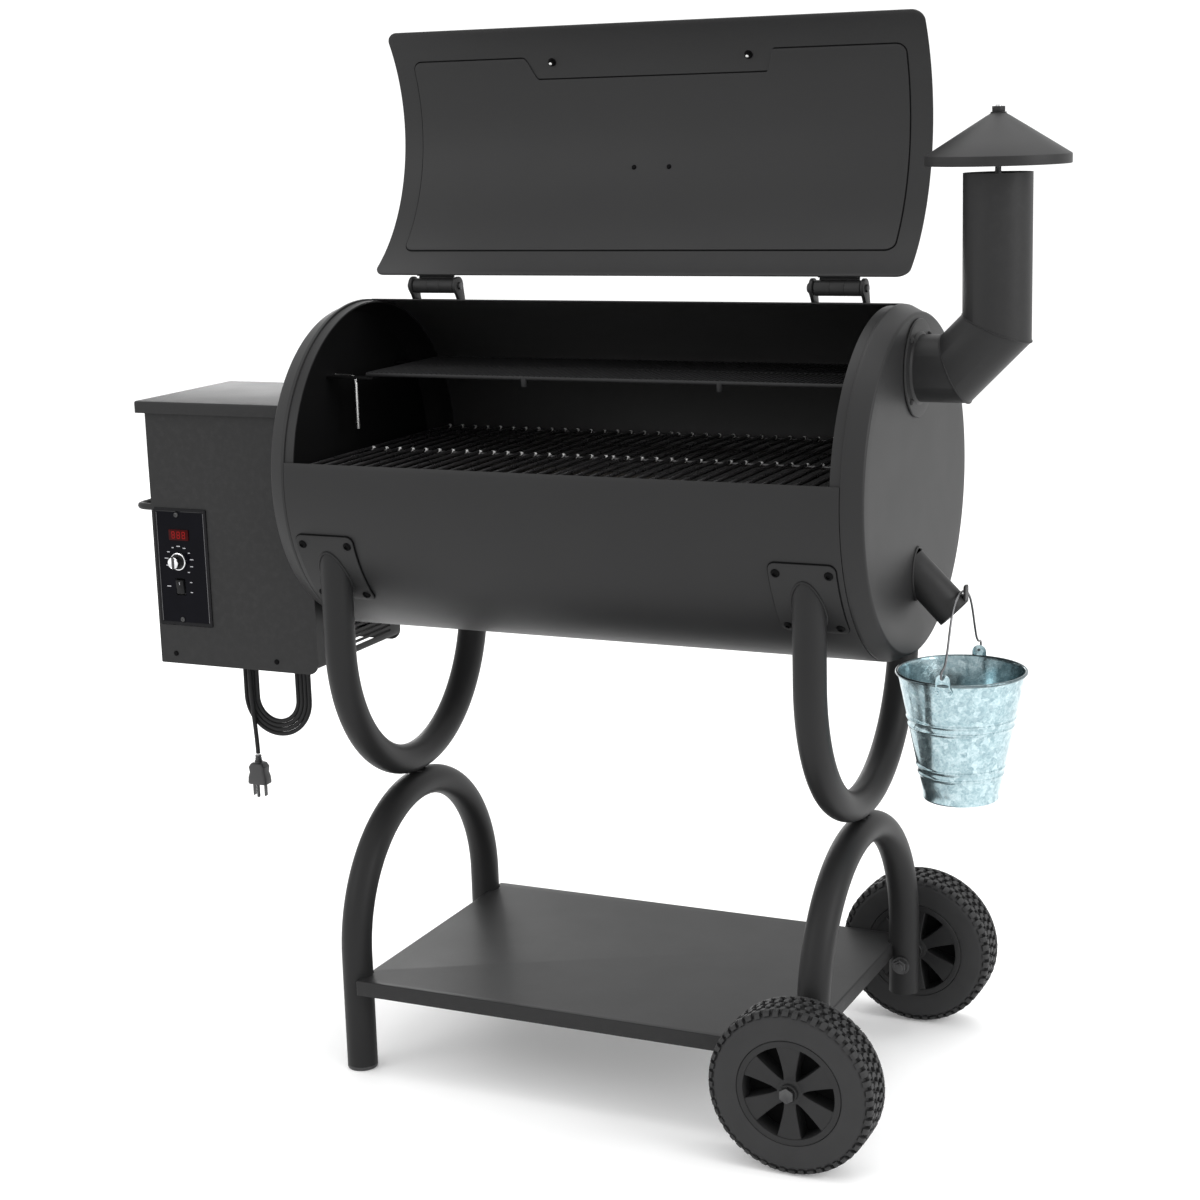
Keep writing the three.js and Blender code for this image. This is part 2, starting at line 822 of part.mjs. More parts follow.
// ---------------------------------------------------------------- lid
// Everything on the lid is laid out closed and turned about the hinge axis.
const lid = new THREE.Group();
lid.position.set(0, HINGE_Y, HINGE_Z);
lid.rotation.x = -rad(LID_OPEN_DEG);
root.add(lid);
const onLid = (name, s, look) => {
  const g = geometryOf(s).translate(0, -HINGE_Y, -HINGE_Z);
  const mesh = new THREE.Mesh(
    g,
    new THREE.MeshStandardMaterial({ ...LOOK[look], flatShading: true }),
  );
  mesh.name = name;
  lid.add(mesh);
};
onLid(
  "lid_shell",
  alongX(band(0, AXIS_Z, LID_R - SHEET, LID_R, LID_A0, LID_A1, 24), -LID_HALF, LID_HALF),
  "paint",
);
{
  // Bar handle on two standoffs near the front edge.
  const a = rad(160.7);
  const at = (x, r) => [x, r * Math.cos(a), AXIS_Z + r * Math.sin(a)];
  const r0 = LID_R + GAP;
  onLid(
    "lid_handle",
    join(
      rod(at(-185, 272), at(185, 272), 11, 12),
      ...[-139, 139].flatMap((x) => [
        rod(at(x, r0 + 3), at(x, 270), 7, 8),
        rod(at(x, r0), at(x, r0 + 5), 13, 12),
      ]),
    ),
    "zinc",
  );
}
{
  // Blank badge plate at the middle of the lid.
  const a = 123.8;
  onLid(
    "lid_badge_plate",
    alongX(band(0, AXIS_Z, LID_R + GAP, LID_R + 2.3, a - 6, a + 6, 4), -62, 62),
    "zinc",
  );
}
function lidLeaf(cx) {
  // Leaf along the lid's outer face, with the middle knuckle round the pin.
  const n = 5;
  const leaf = alongX(
    band(0, AXIS_Z, LID_R + GAP, LID_R + 3.3, 80.6, 92, n),
    cx - HINGE_HALF + 10,
    cx + HINGE_HALF - 10,
  );
  const web = alongX(
    [
      [HINGE_Y - 10, HINGE_Z - 3],
      [HINGE_Y - 23, AXIS_Z + 223.5],
      [HINGE_Y - 6, AXIS_Z + 221.5],
      [HINGE_Y + 1, HINGE_Z - 8],
    ],
    cx - HINGE_HALF + 10,
    cx + HINGE_HALF - 10,
  );
  const knuckle = rod(
    [cx - HINGE_HALF + 5.5, HINGE_Y, HINGE_Z],
    [cx + HINGE_HALF - 5.5, HINGE_Y, HINGE_Z],
    10,
    16,
  );
  const inShell = rod([cx - 60, 0, AXIS_Z], [cx + 60, 0, AXIS_Z], LID_R + GAP, 96);
  return cut(
    join(leaf, web, knuckle),
    rod([cx - 60, HINGE_Y, HINGE_Z], [cx + 60, HINGE_Y, HINGE_Z], 5.3, 16),
    inShell,
  );
}
onLid("hinge_leaf_left", lidLeaf(-HINGE_X), "paint");
onLid("hinge_leaf_right", lidLeaf(HINGE_X), "paint");

function hingeBase(cx) {
  // Leaf on the barrel behind the opening, two cheeks and the fixed pin.
  const foot = alongX(
    band(0, AXIS_Z, BARREL_R + GAP, BARREL_R + 3.3, 66, 76.5, 5),
    cx - HINGE_HALF,
    cx + HINGE_HALF,
  );
  const cheek = (x0) =>
    alongX(
      [
        [HINGE_Y + 36, AXIS_Z + 203],
        [HINGE_Y + 9.5, AXIS_Z + 212],
        [HINGE_Y - 1, AXIS_Z + 223.4],
        ...arc(HINGE_Y, HINGE_Z, 12.5, 180, 45, 6),
        [HINGE_Y + 38, AXIS_Z + 213],
      ],
      x0,
      x0 + 4.5,
    );
  const pin = join(
    rod([cx - HINGE_HALF - 4, HINGE_Y, HINGE_Z], [cx + HINGE_HALF + 3, HINGE_Y, HINGE_Z], 5, 16),
    rod([cx - HINGE_HALF - 5, HINGE_Y, HINGE_Z], [cx - HINGE_HALF - 1, HINGE_Y, HINGE_Z], 8, 12),
  );
  return cut(
    join(foot, cheek(cx - HINGE_HALF), cheek(cx + HINGE_HALF - 4.5), pin),
    rod([cx - 60, 0, AXIS_Z], [cx + 60, 0, AXIS_Z], BARREL_R + GAP, 90),
  );
}
add("hinge_base_left", hingeBase(-HINGE_X), "paint");
add("hinge_base_right", hingeBase(HINGE_X), "paint");

// ---------------------------------------------------------------- frame
function archRoute(spring, height, up, end, n = 10) {
  const s = up ? 1 : -1;
  const P = [[-LEG_Y, end]],
    T = [[0, s]];
  for (let i = 0; i <= n; i++) {
    const a = (Math.PI * i) / n;
    P.push([-LEG_Y * Math.cos(a), spring + s * height * Math.sin(a)]);
    T.push([LEG_Y * Math.sin(a), s * height * Math.cos(a)]);
  }
  P.push([LEG_Y, end]);
  T.push([0, -s]);
  return [P, T];
}
function bent(x, route) {
  const [P, T] = route;
  return swept(
    P.map(([y, z]) => [x, y, z]),
    T.map(([y, z]) => [0, y, z]),
    TUBE_R,
    TUBE_BORE,
    10,
  );
}
const coped = (s) =>
  s.subtract(rod([-420, 0, AXIS_Z], [420, 0, AXIS_Z], BARREL_R + 3.1, 96));
for (const [side, x] of [
  ["left", -LEG_X],
  ["right", LEG_X],
]) {
  add(
    `upper_frame_tube_${side}`,
    coped(bent(x, archRoute(U_SPRING_Z, U_DROP, false, 740))),
    "paint",
  );
  const end = side === "left" ? 5.3 : RIGHT_LEG_Z;
  let arch = bent(x, archRoute(ARCH_SPRING_Z, ARCH_RISE, true, end));
  // tabs under the shelf's corners
  const dir = x < 0 ? 1 : -1;
  for (const y of [-LEG_Y, LEG_Y]) {
    const xs = [x + dir * 19.5, x + dir * 44].sort((a, b) => a - b);
    arch = arch.add(box(xs[0], xs[1], y - 9, y + 9, 109.4, 112.7));
  }
  if (side === "right")
    arch = arch.subtract(rod([WHEEL_X, -260, WHEEL_R], [WHEEL_X, 260, WHEEL_R], AXLE_R + 0.6, 10));
  add(`lower_frame_tube_${side}`, arch, "paint");
}
for (const [end, y] of [
  ["front", -LEG_Y],
  ["rear", LEG_Y],
])
  add(
    `foot_glide_${end}`,
    join(
      rod([-LEG_X, y, 0], [-LEG_X, y, 5], TUBE_R, 16),
      rod([-LEG_X, y, 4], [-LEG_X, y, 22], TUBE_BORE - 1.2, 12),
    ),
    "plastic",
  );

function saddle(x, front) {
  // Curved plate on the barrel with four bolt heads.
  const a = (d) => (front ? 180 + d : -d);
  const lo = Math.min(a(16.6), a(44.5)),
    hi = Math.max(a(16.6), a(44.5));
  let s = alongX(
    band(0, AXIS_Z, BARREL_R + GAP, BARREL_R + 2.8, lo, hi, 8),
    x - SADDLE_HALF,
    x + SADDLE_HALF,
  );
  for (const [dx, d] of [
    [-33, 20],
    [33, 20],
    [-33, 41.5],
    [33, 41.5],
  ]) {
    const c = Math.cos(rad(a(d))),
      n = Math.sin(rad(a(d)));
    const at = (r) => [x + dx, r * c, AXIS_Z + r * n];
    s = s.add(rod(at(BARREL_R + 1.5), at(BARREL_R + 5.6), 5.5, 6));
  }
  return s;
}
add("saddle_front_left", saddle(-LEG_X, true), "paint");
add("saddle_front_right", saddle(LEG_X, true), "paint");
add("saddle_rear_left", saddle(-LEG_X, false), "paint");
add("saddle_rear_right", saddle(LEG_X, false), "paint");

{
  // Pressed shelf: top sheet with flanges, notched round the four legs.
  const t = SHELF_T,
    X = SHELF_HALF_X,
    Y = SHELF_HALF_Y;
  let s = cut(
    box(-X, X, -Y, Y, SHELF_TOP - SHELF_FLANGE, SHELF_TOP),
    box(-X + t, X - t, -Y + t, Y - t, SHELF_TOP - 40, SHELF_TOP - t),
  );
  for (const x of [-LEG_X, LEG_X])
    for (const y of [-LEG_Y, LEG_Y])
      s = s.subtract(rod([x, y, 100], [x, y, 145], TUBE_R + 1, 20));
  add("bottom_shelf", s, "paint");
}

// ---------------------------------------------------------------- wheels
{
  // Stub axle through each wheeled leg: inner nut and washer, collar, end nut.
  for (const [end, d] of [
    ["front", -1],
    ["rear", 1],
  ]) {
    const A = (a, b, r, n) =>
      rod([WHEEL_X, d * a, WHEEL_R], [WHEEL_X, d * b, WHEEL_R], r, n);
    add(
      `wheel_axle_${end}`,
      join(
        A(152, 288.5, AXLE_R, 16),
        A(284.1, 289.5, 10, 6),
        A(206.2, 222.8, 9.5, 12),
        A(155, 161.9, 10, 6),
        A(161.4, 163.8, 12.5, 16),
      ),
      "zinc",
    );
  }
}
function wheel(front) {
  const y0 = front ? -WHEEL_OUT : WHEEL_IN,
    y1 = front ? -WHEEL_IN : WHEEL_OUT;
  const mid = (y0 + y1) / 2;
  const A = (a, b, r, n) => rod([WHEEL_X, a, WHEEL_R], [WHEEL_X, b, WHEEL_R], r, n);
  // hub: rim ring, boss and six spokes
  let hub = join(
    cut(A(y0 + 5, y1 - 5, 66, 24), A(y0 - 5, y1 + 5, 58, 24)),
    A(y0, y1, 17, 12),
    A(mid - 1.6, mid + 1.6, 60, 24), // web that closes the windows
  );
  for (let i = 0; i < 6; i++) {
    const g = new THREE.BoxGeometry(46, 40, 16)
      .translate(37, 0, 0)
      .rotateY((Math.PI * (i + 0.5)) / 3)
      .translate(WHEEL_X, mid, WHEEL_R);
    hub = hub.add(solid(g));
  }
  hub = hub.subtract(A(y0 - 5, y1 + 5, AXLE_R + 0.35, 16));
  // tyre: ring with raised shoulder lugs
  let tyre = cut(A(y0 + 1, y1 - 1, 101.5, 32), A(y0 - 5, y1 + 5, 66.4, 24));
  for (let i = 0; i < 12; i++)
    for (const [ya, yb, da] of [
      [y0, y0 + 26, 0],
      [y1 - 26, y1, 0.5],
    ]) {
      const g = new THREE.BoxGeometry(14, yb - ya, 24)
        .translate(98.3, (ya + yb) / 2, 0)
        .rotateY((Math.PI * (i + da)) / 6)
        .translate(WHEEL_X, 0, WHEEL_R);
      tyre = tyre.add(solid(g));
    }
  return [hub, tyre];
}
for (const front of [true, false]) {
  const [hub, tyre] = wheel(front);
  const n = front ? "front" : "rear";
  add(`wheel_hub_${n}`, hub, "plastic");
  add(`wheel_tyre_${n}`, tyre, "rubber");
}

// ---------------------------------------------------------------- hopper
{
  // Folded casing, open at the bottom, with a rounded lower right corner.
  const c = 16,
    t = HT;
  const outline = (d) => [
    [HX0 + d, HZ0 - (d ? 5 : 0)],
    [HX1 - d - c, HZ0 - (d ? 5 : 0)],
    ...(d
      ? [[HX1 - d, HZ0 - 5]]
      : arc(HX1 - c, HZ0 + c, c, -90, 0, 5)),
    [HX1 - d, HZ1 + (d ? 5 : 0)],
    [HX0 + d, HZ1 + (d ? 5 : 0)],
  ];
  let s = cut(alongY(outline(0), -HY, HY), alongY(outline(t), -HY + t, HY - t));
  // opening for the duct and auger tube
  s = s.subtract(box(HX1 - 10, HX1 + 10, -34.5, 34.5, 598.5, 667.5));
  // vent slots below the barrel
  for (let i = 0; i < 6; i++)
    s = s.subtract(
      box(HX1 - 10, HX1 + 10, -84, 84, 541 + i * 7.4, 544.6 + i * 7.4),
    );
  // switch recess
  s = s.subtract(
    box(SWITCH_X - 8, SWITCH_X + 8, -HY - 5, -HY + 5, SWITCH_Z - 12, SWITCH_Z + 12),
  );
  // lower screws
  for (const x of [-637, -472])
    s = s.add(rod([x, -HY + 0.5, 536], [x, -HY - 1.6, 536], 3.4, 8));
  // hinge ears and pins for the bin lid
  for (const x of [-625, -440])
    s = join(
      s,
      box(x, x + 5, HY - 1, HY + 10.2, HOPPER_PIVOT_Z - 9, HOPPER_PIVOT_Z + 3.4),
      rod([x - 14, HOPPER_PIVOT_Y, HOPPER_PIVOT_Z], [x + 19, HOPPER_PIVOT_Y, HOPPER_PIVOT_Z], 2.5, 12),
    );
  // peg that the mains lead's hank hangs on
  s = s.add(rod([HANK_X, -HY + 1, 576.3], [HANK_X, -30, 576.3], 4.6, 8));
  // bracket for the lead's gland
  s = s.add(box(-584, -562, -HY + 1, -28, 600, 602));
  add("hopper_casing", s, "paint");
}
{
  // Bin lid with skirts, knuckles at the back, and no skirt where the ears are.
  const X0 = -674,
    X1 = -402.2,
    Y0 = -121,
    Y1 = 114.8,
    z0 = 873.4,
    t = 1.5;
  let s = cut(
    box(X0, X1, Y0, Y1, z0, HOPPER_LID_TOP),
    box(X0 + t, X1 - t, Y0 + t, Y1 - t, z0 - 5, HOPPER_LID_TOP - t),
  );
  for (const x of [-625, -440]) {
    s = s.subtract(box(x - 2, x + 7, Y1 - 4, Y1 + 4, z0 - 5, HOPPER_PIVOT_Z + 6.5));
    for (const [a, b] of [
      [x - 12, x - 2.5],
      [x + 7.5, x + 17],
    ])
      s = s.add(
        cut(
          box(a, b, Y1 - 1, HOPPER_PIVOT_Y + 4.2, HOPPER_PIVOT_Z - 4.2, HOPPER_PIVOT_Z + 4.2),
          rod([a - 5, HOPPER_PIVOT_Y, HOPPER_PIVOT_Z], [b + 5, HOPPER_PIVOT_Y, HOPPER_PIVOT_Z], 2.75, 12),
        ),
      );
  }
  // clear of the pins
  for (const x of [-625, -440])
    s = s.subtract(
      rod([x - 20, HOPPER_PIVOT_Y, HOPPER_PIVOT_Z], [x + 25, HOPPER_PIVOT_Y, HOPPER_PIVOT_Z], 2.75, 12),
    );
  add("hopper_lid", s, "paint");
}
{
  // Pellet bin: straight top, tapered throat down to the auger tube.
  const cx = -534,
    k = Math.SQRT1_2;
  const frustum = (w0, d0, z0, w1, d1, z1) => {
    const g = new THREE.CylinderGeometry(1 / Math.SQRT2, w0 / w1 / Math.SQRT2, 1, 4);
    g.rotateY(Math.PI / 4);
    g.rotateX(Math.PI / 2);
    g.scale(w1, d1, z1 - z0);
    g.translate(cx, 0, (z0 + z1) / 2);
    return solid(g);
  };
  const t = 1.4;
  const W = 248,
    D = 214,
    w = 68,
    d = (68 * 214) / 248;
  let s = cut(
    join(
      frustum(w, d, 662, W, D, 770),
      box(cx - W / 2, cx + W / 2, -D / 2, D / 2, 769, 886.6),
      box(-661.4, -406.6, -HY + 0.6, HY - 0.6, 886.3, 887.6),
    ),
    frustum(w - 2 * t, d * (1 - (2 * t) / w), 661.5, W - 2 * t, D * (1 - (2 * t) / W), 769.5),
    box(cx - W / 2 + t, cx + W / 2 - t, -D / 2 + t, D / 2 - t, 769, 895),
    box(cx - 28, cx + 28, -20, 20, 640, 666),
  );
  add("pellet_bin", s, "zinc");
}
{
  // Side handle.
  const P = [
    [-662.4, -90, 738],
    [-690, -90, 738],
    [-698.5, -86.5, 738],
    [-702, -78, 738],
    [-702, 78, 738],
    [-698.5, 86.5, 738],
    [-690, 90, 738],
    [-662.4, 90, 738],
  ];
  add(
    "hopper_handle",
    join(
      swept(P, null, 5, 0, 8),
      rod([-662.4, -90, 738], [-665, -90, 738], 9, 8),
      rod([-662.4, 90, 738], [-665, 90, 738], 9, 8),
    ),
    "paint",
  );
}
{
  // Control panel: framed plate with two screws.
  let s = cut(
    join(
      box(PANEL_X0, PANEL_X1, PANEL_Y - 2, PANEL_Y, PANEL_Z0, PANEL_Z1),
      rod([KNOB_X, PANEL_Y - 1, 733], [KNOB_X, PANEL_Y - 3.4, 733], 3.2, 8),
      rod([KNOB_X, PANEL_Y - 1, 586], [KNOB_X, PANEL_Y - 3.4, 586], 3.2, 8),
    ),
    box(PANEL_X0 + 3, PANEL_X1 - 3, PANEL_Y - 5, PANEL_Y - 1.4, 592, 727),
    box(SWITCH_X - 8, SWITCH_X + 8, PANEL_Y - 5, PANEL_Y + 5, SWITCH_Z - 12, SWITCH_Z + 12),
  );
  add("control_panel", s, "gloss");
}
add(
  "display_window",
  box(-634, -602, PANEL_Y - 2.9, PANEL_Y - 1.7, 697.5, 712.5),
  "display",
);
add(
  "selector_knob",
  join(
    rod([KNOB_X, PANEL_Y - 1.8, KNOB_Z], [KNOB_X, PANEL_Y - 5, KNOB_Z], 12.6, 20),
    rod([KNOB_X, PANEL_Y - 4, KNOB_Z], [KNOB_X, PANEL_Y - 17, KNOB_Z], 9.4, 16, 8.4),
    box(KNOB_X - 1.6, KNOB_X + 1.6, PANEL_Y - 18, PANEL_Y - 4, KNOB_Z - 9, KNOB_Z + 9),
  ),
  "chrome",
);
{
  // Rocker switch, resting tilted to its off side.
  const g = new THREE.BoxGeometry(13, 6, 20)
    .rotateX(rad(SWITCH_TILT))
    .translate(SWITCH_X, PANEL_Y - 0.6, SWITCH_Z);
  add("power_switch", solid(g), "plastic");
}

// ---------------------------------------------------------------- mains lead
const GLAND_X = HANK_X - HANK_HALF + 0.15 + CORD_R;
add(
  "cord_gland",
  join(
    rod([GLAND_X, HANK_Y, 584], [GLAND_X, HANK_Y, 597], 4.2, 10, 5.6),
    rod([GLAND_X, HANK_Y, 596], [GLAND_X, HANK_Y, 599.7], 8, 10),
  ),
  "plastic",
);
{
  const c0 = HANK_Z0 + HANK_HALF,
    c1 = HANK_Z1 - HANK_HALF,
    w = HANK_HALF - HANK_TURNS * CORD_PITCH;
  const stadium = (r) => [
    ...arc(HANK_X, c1, r, 0, 180, 12),
    ...arc(HANK_X, c0, r, 180, 360, 12),
  ];
  add(
    "cord_hank",
    join(
      alongY(stadium(HANK_HALF), HANK_Y - 3.5, HANK_Y + 3.5, [stadium(w)]),
      rod([GLAND_X, HANK_Y, 560], [GLAND_X, HANK_Y, 583.7], CORD_R, 8),
    ),
    "rubber",
  );
}
const TAIL_Y = HANK_Y - 3.5 - 0.3 - CORD_R - 0.1;
const TAIL = [
  [-545, 588],
  [-554, 575],
  [-560.5, 556],
  [-562, 535],
  [-562, 500],
  [-560.5, 460],
  [-557.5, 420],
  [-556, 398],
  [-555.5, 379.2],
];
add(
  "cord_tail",
  swept(TAIL.map(([x, z]) => [x, TAIL_Y, z]), null, CORD_R, 0, 8),
  "rubber",
);
add(
  "cord_plug",
  join(
    rod([-555.5, TAIL_Y, 366], [-555.5, TAIL_Y, 378.9], 9, 10, 5),
    box(-571, -540, TAIL_Y - 10, TAIL_Y + 10, 337, 367),
    box(-565.6, -564, TAIL_Y - 3.2, TAIL_Y + 3.2, 319, 338),
    box(-547, -545.4, TAIL_Y - 3.2, TAIL_Y + 3.2, 319, 338),
    rod([-555.5, TAIL_Y - 5, 318], [-555.5, TAIL_Y - 5, 338], 2.4, 8),
  ),
  "plastic",
);

export default root;
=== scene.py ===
import math

import bmesh
import bpy
from mathutils import Matrix, Vector


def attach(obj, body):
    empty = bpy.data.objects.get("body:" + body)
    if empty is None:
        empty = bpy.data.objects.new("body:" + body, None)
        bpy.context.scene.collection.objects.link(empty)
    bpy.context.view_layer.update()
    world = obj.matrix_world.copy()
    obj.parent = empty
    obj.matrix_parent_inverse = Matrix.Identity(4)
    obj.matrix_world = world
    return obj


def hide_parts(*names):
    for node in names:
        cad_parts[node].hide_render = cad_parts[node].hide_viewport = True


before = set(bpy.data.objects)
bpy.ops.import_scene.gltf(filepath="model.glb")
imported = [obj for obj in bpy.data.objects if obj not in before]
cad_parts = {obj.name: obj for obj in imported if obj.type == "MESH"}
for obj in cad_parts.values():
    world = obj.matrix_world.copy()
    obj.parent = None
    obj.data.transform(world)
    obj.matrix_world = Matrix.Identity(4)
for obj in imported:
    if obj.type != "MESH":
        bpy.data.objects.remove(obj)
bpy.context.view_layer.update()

SHIFT = 61.709  # design X of the part's own drawing to the frame's X, mm
MM = 0.001
scene = bpy.context.scene


def M(x, y, z):
    return Vector(((x + SHIFT) * MM, y * MM, z * MM))


def rad(d):
    return d * math.pi / 180


# ------------------------------------------------------------------ camera
cam_data = bpy.data.cameras.new("camera")
cam_data.sensor_width = 36.0
cam_data.lens = 68.3969
cam_data.clip_start, cam_data.clip_end = 0.05, 60
cam = bpy.data.objects.new("camera", cam_data)
scene.collection.objects.link(cam)
RIGHT = (0.9074513458753093, 0.4191460356061393, -0.029131695878318768)
UP = (-0.06262324385733593, 0.20348833328215857, 0.9770725804907403)
BACK = (0.41546405885211596, -0.8848215068892179, 0.21090404630641713)
LOC = (1.277711, -2.663445, 1.262161)
cam.matrix_world = Matrix(
    [[RIGHT[i], UP[i], BACK[i], LOC[i]] for i in range(3)] + [[0, 0, 0, 1]]
)
scene.camera = cam


# ------------------------------------------------------------------ materials
class Mat:
    """A small builder for a Principled material from nodes."""

    def __init__(self, name):
        self.m = bpy.data.materials.new(name)
        self.m.use_nodes = True
        self.t = self.m.node_tree
        self.t.nodes.clear()
        self.out = self.node("ShaderNodeOutputMaterial")
        self.b = self.node("ShaderNodeBsdfPrincipled")
        self.link(self.b.outputs[0], self.out.inputs[0])
        self.co = self.node("ShaderNodeTexCoord").outputs["Object"]

    def node(self, kind, **inputs):
        n = self.t.nodes.new(kind)
        for k, v in inputs.items():
            n.inputs[k.replace("_", " ")].default_value = v
        return n

    def link(self, a, b):
        self.t.links.new(a, b)

    def set(self, **kw):
        for k, v in kw.items():
            self.b.inputs[k.replace("_", " ")].default_value = v
        return self

    def noise(self, scale, detail=2.0, rough=0.5, coord=None):
        n = self.node("ShaderNodeTexNoise", Scale=scale, Detail=detail, Roughness=rough)
        self.link(coord or self.co, n.inputs["Vector"])
        return n.outputs["Fac"]

    def ramp(self, fac, stops):
        n = self.node("ShaderNodeValToRGB")
        e = n.color_ramp.elements
        while len(e) < len(stops):
            e.new(0.5)
        for s, (p, c) in zip(e, stops):
            s.position = p
            s.color = c if len(c) == 4 else (*c, 1)
        self.link(fac, n.inputs[0])
        return n.outputs[0]

    def span(self, fac, lo, hi, a=0.0, b=1.0):
        n = self.node("ShaderNodeMapRange")
        n.inputs["From Min"].default_value = a
        n.inputs["From Max"].default_value = b
        n.inputs["To Min"].default_value = lo
        n.inputs["To Max"].default_value = hi
        self.link(fac, n.inputs[0])
        return n.outputs[0]

    def mix(self, fac, a, b, mode="MIX"):
        n = self.t.nodes.new("ShaderNodeMix")
        n.data_type = "RGBA"
        n.blend_type = mode
        for s, v in ((n.inputs[0], fac), (n.inputs[6], a), (n.inputs[7], b)):
            if isinstance(v, (int, float)):
                s.default_value = v
            elif isinstance(v, tuple):
                s.default_value = v if len(v) == 4 else (*v, 1)
            else:
                self.link(v, s)
        return n.outputs[2]

    def bump(self, height, strength=0.3, distance=0.0002, normal=None):
        n = self.node("ShaderNodeBump", Strength=strength, Distance=distance)
        self.link(height, n.inputs["Height"])
        if normal is not None:
            self.link(normal, n.inputs["Normal"])
        return n.outputs[0]

    def to(self, name, socket):
        self.link(socket, self.b.inputs[name])
        return self


def coat(name, base, rough, spread=0.035, grain=1500, strength=0.22, metallic=0.0, wear=0.12, spec=0.45):
    """Textured powder coat: fine orange-peel grain, slow tone drift, rubbed edges."""
    k = Mat(name).set(Metallic=metallic)
    k.b.inputs["Specular IOR Level"].default_value = spec
    slow = k.noise(6, 4, 0.55)
    fine = k.noise(grain, 3, 0.6)
    lo = tuple(c * (1 - spread) for c in base)
    hi = tuple(c * (1 + spread) for c in base)
    tone = k.ramp(slow, [(0.3, lo), (0.7, hi)])
    geo = k.node("ShaderNodeNewGeometry")
    edge = k.span(geo.outputs["Pointiness"], 0, wear, 0.53, 0.62)
    spots = k.ramp(k.noise(90, 5, 0.7), [(0.45, (0, 0, 0)), (0.7, (1, 1, 1))])
    mask = k.mix(1.0, edge, spots, "MULTIPLY")
    k.to("Base Color", k.mix(mask, tone, tuple(min(1, c * 2.4 + 0.02) for c in base)))
    k.to("Roughness", k.span(k.noise(14, 2), rough - 0.015, rough + 0.02, 0.25, 0.75))
    k.to("Normal", k.bump(fine, strength, 0.00025))
    return k.m


PAINT = coat("charcoal_powder_coat", (0.0165, 0.0165, 0.0168), 0.45, spec=0.19)
# painted light: the inside coat is a lighter copy of the outside charcoal paint, lifting the dimly lit inside of the
# barrel
PAINT_IN = coat("barrel_interior_coat_lightened", (0.021, 0.021, 0.0213), 0.5, 0.12, 900, 0.3, spec=0.45)
# painted shade: the end caps' inner faces and rack tabs take a much darker copy of the interior coat
CAP_IN_SHADE = coat("cap_interior_painted_shade", (0.0036, 0.0036, 0.0038), 0.6, 0.12, 900, 0.3, spec=0.12)
PAINT_TUBE = coat("frame_powder_coat", (0.0138, 0.0138, 0.0141), 0.45, spec=0.16)
PAINT_LID = coat("lid_powder_coat", (0.019, 0.019, 0.0193), 0.48, spec=0.22)


def enamel():
    k = Mat("grate_porcelain_enamel")
    k.b.inputs["Specular IOR Level"].default_value = 0.4
    k.b.inputs["Coat Weight"].default_value = 0.35
    k.b.inputs["Coat Roughness"].default_value = 0.1
    n = k.noise(160, 4, 0.6)
    k.to("Base Color", k.ramp(n, [(0.3, (0.006, 0.006, 0.007)), (0.72, (0.018, 0.017, 0.017))]))
    k.to("Roughness", k.span(k.noise(60, 3), 0.22, 0.42, 0.3, 0.7))
    k.to("Normal", k.bump(k.noise(420, 2), 0.25, 0.0004))
    return k.m


ENAMEL = enamel()
RACK_M = coat("rack_enamel", (0.0125, 0.0125, 0.013), 0.55, 0.1, 700, 0.2, spec=0.2)


def metal(name, dark, light, rough=(0.22, 0.4), scale=30, stretch=None, bump=0.08, metallic=1.0):
    k = Mat(name).set(Metallic=metallic)
    co = k.co
    if stretch:
        mp = k.node("ShaderNodeMapping")
        mp.inputs["Scale"].default_value = stretch
        k.link(k.co, mp.inputs["Vector"])
        co = mp.outputs[0]
    n = k.noise(scale, 5, 0.6, co)
    k.to("Base Color", k.ramp(n, [(0.25, dark), (0.75, light)]))
    k.to("Roughness", k.span(k.noise(scale * 1.7, 3, 0.5, co), rough[0], rough[1], 0.25, 0.75))
    k.to("Normal", k.bump(k.noise(scale * 9, 2, 0.5, co), bump, 0.0002))
    return k.m


ZINC = metal("zinc_plate", (0.42, 0.43, 0.44), (0.58, 0.58, 0.58), (0.3, 0.5), 60)
STEEL = metal("brushed_stainless", (0.50, 0.50, 0.50), (0.68, 0.68, 0.67), (0.2, 0.34), 40, (1, 14, 14))
BLACKENED = metal("blackened_steel", (0.045, 0.045, 0.047), (0.10, 0.10, 0.10), (0.35, 0.5), 60)
CHROME = metal("chrome_plate", (0.72, 0.73, 0.74), (0.86, 0.86, 0.87), (0.05, 0.13), 20, None, 0.02)
# painted highlight: a near-white, mostly non-metal finish so the grate's weld crossings read as glints
CROSSING_GLINT = metal("crossing_glint_paint", (0.80, 0.80, 0.79), (0.95, 0.95, 0.94), (0.16, 0.3), 50, metallic=0.25)
# dull zinc for the bail wire; also the painted highlight strips on the control panel frame's bevels
WIRE = metal("dull_zinc_wire_and_bevel_highlight", (0.11, 0.11, 0.115), (0.20, 0.20, 0.205), (0.3, 0.45), 60)
SOOTY = metal("heat_stained_steel", (0.05, 0.045, 0.04), (0.16, 0.15, 0.14), (0.4, 0.6), 25)


